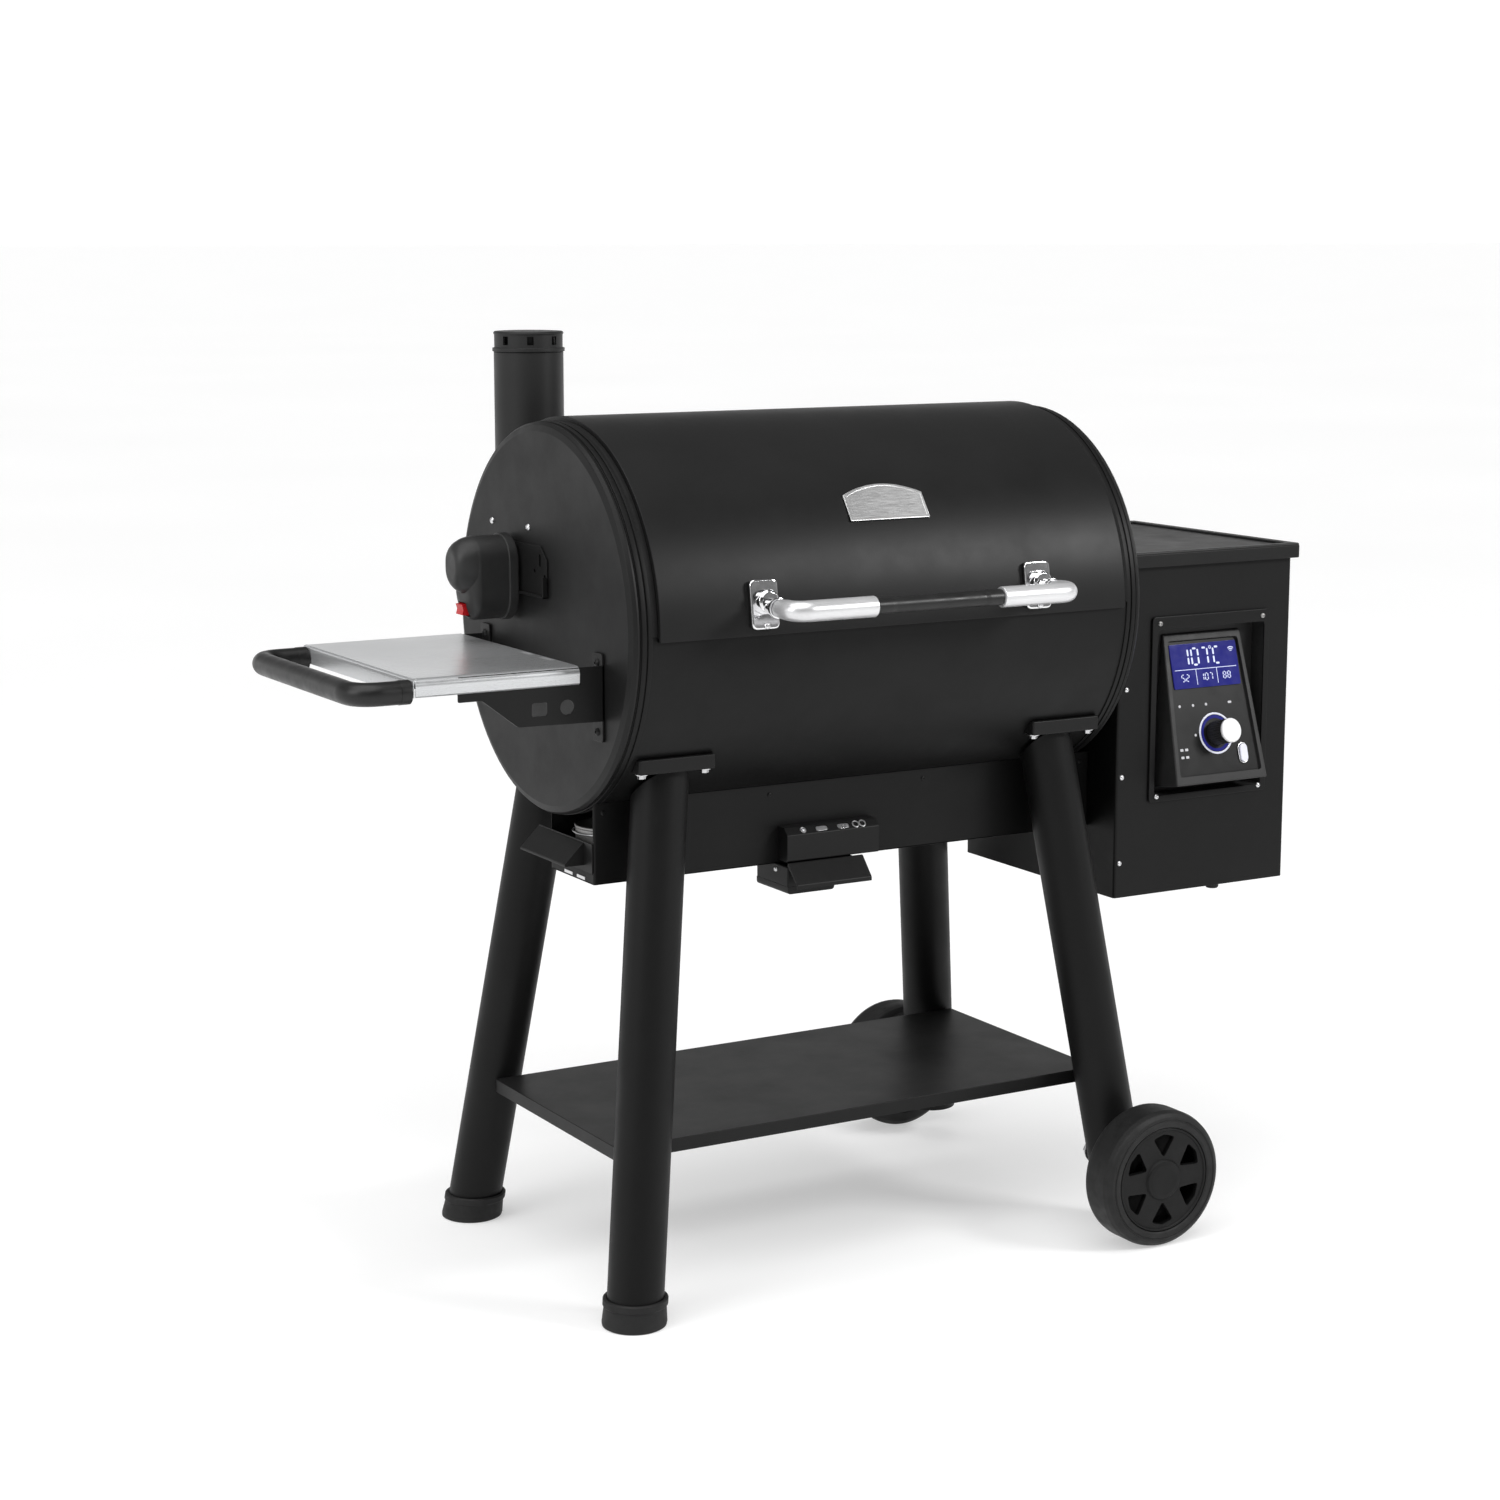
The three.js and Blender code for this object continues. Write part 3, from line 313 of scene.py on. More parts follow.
# ---- finishes -------------------------------------------------------------
class Nodes:
    """Shader nodes of a material or of the world; inputs take values or sockets."""

    def __init__(self, tree, coordinates):
        self.tree = tree
        self.place = self.node("TexCoord").outputs[coordinates]

    def feed(self, socket, value):
        if isinstance(value, bpy.types.NodeSocket):
            self.tree.links.new(value, socket)
        else:
            socket.default_value = value

    def node(self, kind, **inputs):
        node = self.tree.nodes.new("ShaderNode" + kind)
        for name, value in inputs.items():
            self.feed(node.inputs[name], value)
        return node

    def noise(self, scale, stretch=(1, 1, 1), detail=4, roughness=0.5):
        mapping = self.node("Mapping", Vector=self.place, Scale=stretch)
        return self.node("TexNoise", Vector=mapping.outputs["Vector"], Scale=scale, Detail=detail,
                         Roughness=roughness).outputs["Fac"]

    def ramp(self, source, stops):
        """Colour ramp; stops are (place, colour or grey)."""
        ramp = self.node("ValToRGB", Fac=source)
        for element, (place, colour) in zip(ramp.color_ramp.elements, stops):
            element.position = place
            grey = isinstance(colour, (int, float))
            element.color = (colour, colour, colour, 1) if grey else (*colour, 1)
        return ramp.outputs["Color"]

    def vary(self, scale, low, high, span=(0.3, 0.7), **noise):
        """Noise that wanders between two colours or greys."""
        return self.ramp(self.noise(scale, **noise), list(zip(span, (low, high))))

    def mix(self, factor, a, b, mode="MIX"):
        node = self.node("Mix")
        node.data_type = "RGBA"
        node.blend_type = mode
        self.feed(node.inputs[0], factor)
        for socket, value in zip([s for s in node.inputs if s.type == "RGBA"], (a, b)):
            self.feed(socket, value if isinstance(value, bpy.types.NodeSocket) else (*value, 1))
        return [s for s in node.outputs if s.type == "RGBA"][0]

    def along(self, vector, axis):
        return self.node("SeparateXYZ", Vector=vector).outputs[axis]

    def bump(self, source, strength, distance, **below):
        return self.node("Bump", Strength=strength, Distance=distance, Height=source,
                         **below).outputs["Normal"]


class Finish(Nodes):
    """A procedural material and the record's slot that it belongs to."""

    def __init__(self, slot, name):
        self.slot = slot
        self.material = bpy.data.materials.new(name)
        self.material.use_nodes = True
        super().__init__(self.material.node_tree, "Object")

    def set(self, **values):
        shader = self.tree.nodes["Principled BSDF"]
        for name, value in values.items():
            self.feed(shader.inputs[name.replace("_", " ").title().replace("Ior", "IOR")], value)
        return self


def painted(name="black_paint", base=0.0065, low=0.41, high=0.49):
    """Satin powder coat: soft clouding, orange peel, fine dust on level faces."""
    f = Finish("black_paint", name)
    level = f.along(f.node("NewGeometry").outputs["True Normal"], "Z")
    dust = f.mix(f.ramp(level, [(0.6, 0.0), (1.0, 0.3)]), (0, 0, 0), (base * 2,) * 3)
    peel = f.bump(f.noise(420, detail=2), 0.10, 0.0004)
    return f.set(base_color=f.mix(1.0, f.vary(5, base * 0.82, base * 1.2, detail=6), dust, "ADD"),
                 roughness=f.vary(14, low, high, (0.3, 0.75), detail=8, roughness=0.65),
                 normal=f.bump(f.noise(1600, detail=1), 0.06, 0.0002, Normal=peel), specular_ior_level=0.22)


def moulded(name, slot, base, low, high, grain=1100, strength=0.25):
    """Moulded plastic or rubber with a fine spark-eroded grain."""
    f = Finish(slot, name)
    return f.set(base_color=f.vary(18, base * 0.8, base * 1.25, detail=5),
                 roughness=f.vary(60, low, high, detail=5),
                 normal=f.bump(f.noise(grain, detail=2), strength, 0.0003), specular_ior_level=0.35)


def brushed(name, slot, base, low, high, stretch=(1, 1, 1), strength=0.02):
    """Brushed or satin steel: long fine scratches, smears and a few darker rubs."""
    f = Finish(slot, name)
    lines = f.noise(60, stretch, detail=6, roughness=0.7)
    smear = f.noise(5, detail=3)
    fine = f.ramp(lines, [(0.3, [c * 0.9 for c in base]), (0.7, base)])
    span = [(0.3, low), (0.7, high)]
    return f.set(base_color=f.mix(f.ramp(smear, [(0.35, 0.0), (0.8, 0.2)]), fine, [c * 0.88 for c in base]),
                 roughness=f.mix(0.3, f.ramp(lines, span), f.ramp(smear, span)),
                 normal=f.bump(lines, strength, 0.0002), metallic=1.0)


def glowing(name, base, glow, strength):
    """Lit display or light guide, a little uneven across its face."""
    f = Finish("display", name)
    return f.set(base_color=f.vary(30, [c * 0.85 for c in base], base),
                 emission_color=f.vary(22, [c * 0.8 for c in glow], glow, (0.25, 0.75), detail=2),
                 roughness=f.vary(80, 0.12, 0.2), emission_strength=strength)


PAINT = painted()
# Slightly darker, rougher copy of the black paint for the end caps and the motor plate: painted shade.
SHADED_CAP_PAINT = painted("black_paint_caps_shaded", 0.006, 0.42, 0.56)
# Darker copy of the black paint for the barrel shell, fire box, legs, hopper case and bezel frame: painted
# shade.
SHADED_PAINT = painted("black_paint_shaded", 0.0038, 0.42, 0.56).set(specular_ior_level=0.19)
# Lighter copy of the black paint for the chimney and the bezel pan: painted light.
LIT_PAINT = painted("black_paint_lit", 0.018, 0.4, 0.54)
LID_PANEL = painted("black_paint_lid_panel", 0.014, 0.4, 0.55)
PLASTIC = moulded("black_plastic", "black_plastic", 0.012, 0.42, 0.6)
SOFT_GRIP = moulded("black_grip", "black_plastic", 0.009, 0.32, 0.46, 700, 0.12)
CASE = moulded("drive_plastic", "black_plastic", 0.02, 0.4, 0.55, 900, 0.2)
HUB = moulded("wheel_plastic", "black_plastic", 0.0035, 0.44, 0.58, 900, 0.15).set(specular_ior_level=0.22)
FACIA = moulded("facia_film", "black_plastic", 0.009, 0.32, 0.42, 1200, 0.05).set(specular_ior_level=0.25)
RUBBER = moulded("rubber", "rubber", 0.008, 0.55, 0.75, 600, 0.35)
# Very dark, rough fill: painted shade for the gap at the lid's ends and for the hopper's vent openings.
SHADE_FILL = moulded("painted_shade_fill", "rubber", 0.004, 0.85, 0.95, 300, 0.5)
TYRE = moulded("tyre", "tyre", 0.007, 0.5, 0.7, 500, 0.4)
IRON = moulded("cast_iron", "cast_iron", 0.03, 0.5, 0.75, 450, 0.6)
RED = moulded("red_plastic", "red_plastic", 0.1, 0.25, 0.4)
RED.set(base_color=RED.vary(18, (0.42, 0.004, 0.008), (0.6, 0.008, 0.012)))
CHROME = brushed("chrome", "chrome", (0.86, 0.86, 0.87), 0.08, 0.2)
KNOB_CAP = brushed("knob_cap_steel", "chrome", (0.72, 0.72, 0.73), 0.3, 0.42).set(metallic=0.25)
STEEL = brushed("satin_steel", "satin_steel", (0.74, 0.74, 0.75), 0.24, 0.4, strength=0.05)
POLISHED = brushed("polished_steel", "satin_steel", (0.74, 0.74, 0.75), 0.28, 0.4, (0.6, 6, 6), 0.03)
# Metallic held at 0.6 lets the pale base show as diffuse colour: painted sheen in place of the steel's
# bright reflection.
POLISHED.set(metallic=0.6)
DARK_STEEL = brushed("heat_stained_steel", "satin_steel", (0.34, 0.335, 0.33), 0.35, 0.6, (1, 5, 1), 0.1)
BRUSHED = brushed("brushed_steel", "brushed_steel", (0.66, 0.67, 0.68), 0.22, 0.38, (0.4, 22, 22), 0.12)
# Metallic held at 0.75 lets the pale base show as diffuse colour: painted sheen in place of the steel's
# bright reflection.
BRUSHED.set(metallic=0.75)
BADGE = brushed("badge_steel", "brushed_steel", (0.8, 0.8, 0.8), 0.3, 0.42, (1, 14, 1), 0.04)
LCD = glowing("display", (0.012, 0.014, 0.12), (0.02, 0.02, 0.22), 0.42)
DIGITS = glowing("display_digits", (0.6, 0.64, 0.8), (0.55, 0.6, 0.9), 0.5)
WHITE_LIGHT = glowing("white_light", (0.6, 0.6, 0.66), (0.7, 0.73, 0.9), 0.3)
ICONS = glowing("facia_icon_light", (0.5, 0.5, 0.52), (0.7, 0.7, 0.72), 0.15)

# ---- places read from the frame ---------------------------------------------
CAP_BOX = extent("left_end_cap")
AXIS_Z = (CAP_BOX[2] + CAP_BOX[5]) / 2
AXIS = (0, 0, AXIS_Z)
BARREL_R = (CAP_BOX[5] - CAP_BOX[2]) / 2
BARREL_IN = BARREL_R - 3
BARREL_HALF = extent("barrel_body")[3]
CAP_FACE = extent("right_end_cap")[3]
LID_R = extent("lid_shell")[5] - AXIS_Z
LID_HALF = extent("lid_shell")[3]
LID_ANGLES = (-0.6, 112.5)
MOUTH_HALF, MOUTH_ANGLES = 328, (1.5, 111)
HINGE_XS = (-215, 215)
ROUND = 96
JOINTS = {joint["name"]: joint for joint in frame["joints"]}


def joint_at(name):
    """A joint's point in millimetres."""
    return [c / MM for c in JOINTS[name]["pos_m"]]


def barrel_point(r, angle):
    """(y, z) at an angle that rises from the front horizontal."""
    a = math.radians(angle)
    return (-r * math.cos(a), AXIS_Z + r * math.sin(a))


def sector(r0, r1, a0, a1, x0, x1, edge=0.8, step=3):
    """Piece of a ring round the barrel's axis."""
    angles = spread(a0, a1, max(1, round(abs(a1 - a0) / step)))
    outline = [barrel_point(r1, a) for a in angles] + [barrel_point(r0, a) for a in reversed(angles)]
    return prism(outline, "x", x0, x1, edge)


def barrel_tool(r, half=430):
    """Solid cylinder on the barrel's axis, for trimming."""
    return drum(r, -half, half, "x", AXIS, ROUND)


def auger_hole(x0, x1):
    return sweep([(x0, 0, 556), (x1, 0, 556)], 31.6, 32, 0)


def screw(at, normal, r=4.2, height=2.6, hexagon=False):
    """Domed screw with a socket, or a hexagon bolt on its washer."""
    if hexagon:
        washer = 1.2
        shape = joined([drum(r, 0, height, "z", (0, 0, washer), 6, 0.6),
                        drum(r * 1.5, 0, washer, "z", (0, 0, 0), 64, 0.4)])
    else:
        dome = [(r * math.sin(math.radians(t)), height * math.cos(math.radians(t)))
                for t in range(90, 24, -13)]
        recess = [(r * 0.38, height * 0.9), (r * 0.3, height * 0.55), (0, height * 0.5)]
        shape = lathe([(r, 0), *dome, *recess], "z", (0, 0, 0), 20)
    turn = Vector((0, 0, 1)).rotation_difference(Vector(normal)).to_matrix().to_4x4()
    return moved(shape, Matrix.Translation(at) @ turn)


# ---- barrel and lid ---------------------------------------------------------
def barrel():
    """Rolled shell with the lid's mouth, two floor openings, rails for the grates and end beads."""
    fire, grease = (-110, 330, 74, 106), (-MOUTH_HALF, -285, 74, 87)
    xs = sorted({-BARREL_HALF, -335, -MOUTH_HALF, -285, -110, MOUTH_HALF, 330, MOUTH_HALF + 7, BARREL_HALF})
    turns = sorted({*MOUTH_ANGLES, *[i * 360 / ROUND for i in range(ROUND)]})
    count = len(turns)

    def solid(i, k):
        if not 0 <= i < len(xs) - 1:
            return False
        x, angle = (xs[i] + xs[i + 1]) / 2, (turns[k % count] + (turns[(k + 1) % count] or 360)) / 2
        if abs(x) < MOUTH_HALF and MOUTH_ANGLES[0] < angle < MOUTH_ANGLES[1]:
            return False
        return not any(x0 < x < x1 and a0 < 360 - angle < a1 for x0, x1, a0, a1 in (fire, grease))

    points, index, faces = [], {}, []
    for layer, r in enumerate((BARREL_IN, BARREL_R)):
        for i, x in enumerate(xs):
            for k, angle in enumerate(turns):
                index[layer, i, k] = len(points)
                points.append((x, *barrel_point(r, angle)))
    for i in range(len(xs) - 1):
        for k in range(count):
            if not solid(i, k):
                continue
            m = (k + 1) % count
            for layer in (0, 1):
                corners = ((i, k), (i + 1, k), (i + 1, m), (i, m))
                faces.append([index[layer, *corner] for corner in corners])
            for other, a, b in (((i - 1, k), (i, k), (i, m)), ((i + 1, k), (i + 1, k), (i + 1, m)),
                                ((i, k - 1), (i, k), (i + 1, k)), ((i, k + 1), (i, m), (i + 1, m))):
                if not solid(*other):
                    faces.append([index[0, *a], index[0, *b], index[1, *b], index[1, *a]])
    shapes = [soften(raw(points, faces), 0.7, 2, 40)]
    shapes += [hoop(BARREL_R - 0.5, BARREL_R + 1.6, s * x - 3, s * x + 3, "x", AXIS, ROUND, 1.4)
               for s in (-1, 1) for x in (347, 355)]
    rail_z, rail_in, rail_out = 800, 221, math.sqrt(BARREL_IN ** 2 - 33 ** 2)
    shapes += [block(-MOUTH_HALF, y0, rail_z, MOUTH_HALF, y1, rail_z + 3)
               for y0, y1 in ((-rail_out, -rail_in), (rail_in, rail_out))]
    make("barrel_shell", shapes, SHADED_PAINT, "barrel_body")


def lid_gap_shade():
    """Very dark strip on the barrel just beyond each side edge of the lid: painted shade for the gap there.
    """
    for name, side in SIDES:
        x = side * (LID_HALF + 4.5)
        make(f"lid_gap_shade_{name}", [sector(BARREL_R + 0.2, BARREL_R + 1.6, 1, 111, x - 4, x + 4, 0.6)], SHADE_FILL)


def lid():
    """Rolled skin with folded edges and the moving halves of its hinges."""
    a0, a1 = LID_ANGLES
    inner = LID_R - 3.7
    fold = (inner - 2.2, inner + 0.6)
    shapes = [sector(inner, LID_R, a0, a1, -LID_HALF, LID_HALF, 1.1, 2)]
    shapes += [sector(*fold, a0, a1, x, x + 4, 0.5, 2) for x in (-LID_HALF, LID_HALF - 4)]
    shapes.append(sector(*fold, a0, a0 + 1.2, -LID_HALF, LID_HALF, 0.4, 1))
    pin = joint_at("lid_open")[1:]
    y, z = barrel_point(LID_R + 2.6, 107)
    bolts = []
    for x in HINGE_XS:
        shapes += [sector(LID_R - 0.5, LID_R + 2.6, 104, 113, x - 26, x + 26, 1, 1.5),
                   sector(LID_R - 1, LID_R + 8, 111.6, 114.6, x - 14.5, x + 14.5, 0.6, 1),
                   hoop(3.2, 5.6, -14.5, 14.5, "x", (x, *pin), 28, 0.7)]
        bolts += [screw((x + dx, y, z), (0, y, z - AXIS_Z), 4.5, 3) for dx in (-18, 18)]
    make("lid", shapes, PAINT, "lid_shell", body="lid")
    make("lid_hinge_screws", bolts, STEEL, body="lid")


def lid_hinges():
    pin = joint_at("lid_open")[1:]
    reach = extent("lid_hinge")[3]
    shapes = [sweep([(-reach, *pin), (reach, *pin)], 2.9, 20)]
    for x in [hinge + side for hinge in HINGE_XS for side in (-26, 26)]:
        shapes += [sector(BARREL_R + 0.3, BARREL_R + 3, 118, 128, x - 14, x + 14, 0.8, 2),
                   sector(BARREL_R + 1, 253, 116.7, 119, x - 10, x + 10, 0.6, 1),
                   sweep([(x - 10, *pin), (x + 10, *pin)], 5.6, 28)]
    make("hinge_posts", shapes, PAINT, "lid_hinge")


def flat_on_lid(x, angle, lift):
    """Frame of a flat plate that lies on the lid: x along it, y up round the lid, z out."""
    return placed((x, *barrel_point(LID_R + lift, angle)), 90 - angle, "X")


def badge():
    """Blank arch-topped plate with a raised border."""
    def outline(by):
        half, foot, shoulder, crown = 57 - by, -24 + by, 12 - by, 26 - by
        arch = [(u, shoulder + (crown - shoulder) * (1 - (u / half) ** 2)) for u in spread(half, -half, 16)]
        return [Vector(p) for p in ((-half, foot), (half, foot), *arch)]

    shapes = [prism(outline(0), "z", 0, 1.5, 0.4), plate(outline(0.3), [outline(3.2)], "z", 1.0, 2.0, 0.3)]
    make("badge_plate", shapes, BADGE, "lid_badge", body="lid", at=flat_on_lid(0, 35.2, 0.8))


def handle():
    """Two chrome wall plates, a steel sleeve bent from each, and a grip between them."""
    bar = bar_y, bar_z = (-325, 868)
    for name, side in SIDES:
        x = side * 198
        at = flat_on_lid(x, 8, 0.6)
        foot = prism(rectangle(-19, -30, 19, 30, 8, 5), "z", 0, 6.5, 2.4, 4)
        boss = turned([(0, 0), (15, 0), (14, 12), (11, 14), (0, 14)], [0, 0, 2, 1, 0], "z", (0, 3, 5), 40,
                      steps=4)
        collar = hoop(9, 12.5, 0, 5, "y", (x, -284, bar_z), 40, 1)
        stem = sweep([(x, -262, bar_z), (x, -283.6, bar_z)], 9.5, 32)
        make(f"handle_foot_{name}", [moved(foot, at), moved(boss, at), collar, stem], CHROME,
             f"handle_post_{name}", body="lid")
        make(f"handle_screw_{name}", [screw((x, -257.5, bar_z - 24), (0, -1, 0.1), 4, 2.5)], STEEL,
             body="lid")
        bend = rounded([(x, -285, bar_z), (x, *bar), (side * 110, *bar)], [0, 38, 0], 14, False)
        path = [bend[0], bend[0].lerp(bend[1], 0.5), *bend[1:], Vector((side * 90.5, *bar))]
        swell = [10.4, 11.6] + [12.2 + 0.6 * i / len(bend) for i in range(len(bend))]
        make(f"handle_end_{name}", [sweep(path, swell, 36, 1.6)], POLISHED, f"handle_sleeve_{name}",
             body="lid")
    end, waist = 10.2, 9.6
    profile = [(0, -90), (end, -90), (end, -70), (waist, -64), (waist, 64), (end, 70), (end, 90), (0, 90)]
    grip = turned(profile, [0, 1, 2, 2, 2, 2, 1, 0], "x", (0, bar_y, bar_z), 48, steps=4)
    make("handle_bar", [grip], SOFT_GRIP, "handle_grip", body="lid")


def end_caps():
    base = BARREL_HALF + 0.4
    rise = CAP_FACE - base
    y, z = joint_at("spit_turn")[1:]
    steps = [(0, rise - 3), (226, rise - 3), (237, 0.2), (BARREL_R, 0), (BARREL_R + 0.6, 3.4),
             (239, rise - 2.6), (231, rise), (0, rise)]
    for name, side in SIDES:
        profile = [(r, side * (base + h))
                   for r, h in rounded(steps, [0, 2, 1, 0.8, 1.6, 2.5, 3, 0], 4, False)]
        hole = sweep([(side * 340, y, z), (side * 380, y, z)], 8, 28, 0)
        make(f"{name}_cap", [carve(lathe(profile, "x", AXIS, ROUND), hole)], SHADED_CAP_PAINT, f"{name}_end_cap")
    bright = [screw((-CAP_FACE, at_y, 945), (-1, 0, 0), 4.4, 3) for at_y in (137, 33)]
    bright += [screw((CAP_FACE, y + dy, z), (1, 0, 0), 4.2, 3) for dy in (-26, 26)]
    make("cap_screws", bright, STEEL)
    bush = rounded([(6, 0.2), (13, 0.2), (13, 3), (9.5, 4), (6, 4)], 0.6, 2)
    make("spit_bush", [lathe([(r, CAP_FACE + h) for r, h in bush], "x", (0, y, z), 32, True)], STEEL)


# ---- inside the barrel --------------------------------------------------------
def grates():
    for name, _ in SIDES:
        x0, y0, z0, x1, y1, z1 = extent(f"cooking_grate_{name}")
        z = (z0 + z1) / 2 + 0.6
        bars = [sweep([(x, y0 + 1, z), (x, y1 - 1, z)], 2.4, 12) for x in spread(x0 + 3, x1 - 3, 17)]
        bars += [block(x0, y - 2.6, z0, x1, y + 2.6, z1 - 1, 1.2) for y in (y0 + 3, 0, y1 - 3)]
        make(f"grate_{name}", bars, IRON, f"cooking_grate_{name}")


def rack():
    x0, y0, z0, x1, y1, z1 = extent("warming_rack")
    wire, foot, top = 2.5, z0 + 0.5, z1 - 2.5
    near, far = y0 + wire, y1 - wire
    wires = [sweep([(x0 + wire, y, top), (x1 - wire, y, top)], 2, 12) for y in spread(near, far, 5)]
    wires += [sweep([(x, near, top - 1.5), (x, far, top - 1.5)], 2, 12) for x in range(-220, 221, 110)]
    for x in (x0 + wire, x1 - wire):
        loop = [(x, near, foot), (x, near, top), (x, far, top), (x, far, foot)]
        wires.append(sweep(rounded(loop, 7, 5, False), 2.4, 14))
    make("warming_rack_wires", wires, STEEL, "warming_rack")


def diffuser():
    x0, y0, z0, x1, y1, z1 = extent("heat_diffuser")
    outline = [(y0, z0), (0, z1 - 3), (y1, z0), (y1, z0 + 3), (0, z1), (y0, z0 + 3)]
    sheet = prism(rounded(outline, [0.6, 3, 0.6, 0.6, 5, 0.6]), "x", x0, x1, 0.7)
    slots = [prism(rectangle(x - 3, s * 60 - 28, x + 3, s * 60 + 28, 2.9), "z", z0 - 5, z1 + 5, 0)
             for x in range(-190, 130, 40) for s in (-1, 1)]
    make("diffuser_sheet", [carve(sheet, *slots)], DARK_STEEL, "heat_diffuser")


def spit():
    """Hexagonal rod and two sliding forks of four prongs."""
    box = extent("spit_rod")
    y, z = joint_at("spit_turn")[1:]
    shapes = [sweep([(box[0], y, z), (box[3], y, z)], 4.6, 6, 0.6)]
    reach, length = 30, 62
    for x, way in ((-130, 1), (130, -1)):
        shapes.append(hoop(4, 12.5, -7, 7, "x", (x, y, z), 28, 1.2))
        shapes.append(sweep([(x, y, z + 10), (x, y, z + 17)], 3, 12))
        for dy, dz in ((-reach, 0), (reach, 0), (0, -reach), (0, reach)):
            path = rounded([(x, y + dy * 0.3, z + dz * 0.3), (x, y + dy, z + dz),
                            (x + way * length, y + dy, z + dz)],
                           8, 5, False)
            shapes.append(sweep(path, [2.4] * (len(path) - 1) + [0.6], 12, 0.2))
    make("spit", shapes, STEEL, "spit_rod", body="spit")


# ---- fire box, drawers and trays -----------------------------------------------
def fire_box():
    """Trough with a narrow left end, open above, to the grease drawer, the ash drawer and the auger."""
    x0, y0, z0, x1, y1, _ = extent("fire_box")
    step_y = 5

    def plan(by, radius):
        left, near, far, in_x, in_y = x0 + by, y0 + by, y1 - by, by - 240, step_y - by
        return rounded([(left, near), (x1 - by, near), (x1 - by, far), (in_x, far), (in_x, in_y),
                        (left, in_y)], radius)

    walls = plate(plan(0, 3.2), [plan(2, 1.4)], "z", z0, 690, 0.6)
    mouth = block(x0 - 5, y0 + 2.4, z0 + 13, x0 + 5, step_y - 2.4, 700, 0)
    body = carve(walls, barrel_tool(BARREL_R + 0.5), mouth, auger_hole(x1 - 12, x1 + 5))
    floor = carve(prism(plan(0, 3.2), "z", z0, z0 + 2, 0.5), block(-88, -106, z0 - 5, 2, -66, z0 + 5, 0))
    make("fire_box_shell", [body, floor], SHADED_PAINT, "fire_box")
    vents = [prism(rectangle(x0 - 0.9, y - 11, x0 + 0.2, y + 11), "z", 521.5, 525.5, 0.3)
             for y in (-45, -79)]
    make("fire_box_vents", vents, STEEL)
    make("fire_box_rivets", [screw((x, y0, 608), (0, -1, 0), 3.2, 1.6) for x in (-345, -110, 120, 370)],
         PAINT)


def grease_parts():
    """Drawer pan with its face and sloping pull, and the pail that hangs from it."""
    x0, y0, z0, x1, y1, z1 = extent("grease_tray")
    face_x, wall = x0 + 28, 1.5
    pan = carve(block(face_x, -109.5, z0, x1, 1.5, 560, 1),
                block(face_x + wall, -108, z0 + wall, x1 - wall, 0, 600, 0.5))
    face = prism(rectangle(y0, 533, y1, z1, 2), "x", face_x - 1.6, face_x + 0.1, 0.5)
    slope = [(face_x - 1, 569.5), (face_x - 27.6, 543.4), (face_x - 27.6, 540.4), (face_x - 1, 540.4)]
    pull = prism(rounded(slope, [1, 3, 1.2, 0.5]), "y", -90, y1, 0.9)
    make("grease_drawer", [pan, face, pull], PAINT, "grease_tray", body="grease_tray")
    left, _, base, right, _, top = extent("grease_can")
    centre = ((left + right) / 2, -54)
    side = [(0, base + 0.2), (41, base + 0.2), (42.4, base + 2), (43, base + 20), (43.2, top - 4),
            (44.2, top - 2.6), (44.2, top - 0.8), (43.4, top), (42.4, top - 0.8), (42.2, top - 4),
            (41.8, base + 20), (41, base + 2.6), (0, base + 1.6)]
    shapes = [lathe(side, "z", (*centre, 0), 64)]
    shapes += [turned([(42.6, z - 1.6), (43.8, z), (42.6, z + 1.6)], 0.6, "z", (*centre, 0), 64, True)
               for z in (base + 16, base + 24)]
    make("grease_pail", shapes, DARK_STEEL, "grease_can", body="grease_tray")
    bail = [(*polar(*centre, 46, a), top - 4 - 5 * math.sin(math.radians(a - 90)) ** 0.5)
            for a in range(95, 266, 10)]
    make("grease_pail_wire", [sweep(bail, 1.2, 10, 0)], STEEL, body="grease_tray")


def cleanout():
    """Panel whose sloping top holds two slots and three eyes."""
    x0, y0, z0, x1, y1, z1 = extent("cleanout_panel")
    slope = 9
    outline = rounded([(y1, z0), (y0, z0), (y0, z1 - slope), (y0 + slope, z1), (y1, z1)],
                      [0.5, 2.5, 2.5, 2.5, 0.5])
    at = placed((0, y0 + slope / 2, z1 - slope / 2), 45, "X")
    slot_xs, stud_x = (x0 + 53, x0 + 85), x0 + 25
    slots = [moved(prism(rectangle(x - 9, -4, x + 9, 4, 3.9), "z", -2, 3, 0), at) for x in slot_xs]
    make("cleanout_cover", [carve(prism(outline, "x", x0, x1, 1.0), *slots)], PAINT, "cleanout_panel")
    fittings = [prism(rectangle(x - 8.4, -3.4, x + 8.4, 3.4, 3.3), "z", -1.2, -0.4, 0.2) for x in slot_xs]
    fittings += [hoop(r - 1.6, r, 0, 1.2, "z", (x, 0, 0), 24, 0.4)
                 for x, r in ((stud_x, 4.4), (x0 + 103, 5.2), (x0 + 113, 5.2))]
    fittings.append(screw((stud_x, 0, 0), (0, 0, 1), 3, 2))
    make("cleanout_fittings", fittings, STEEL, at=at)


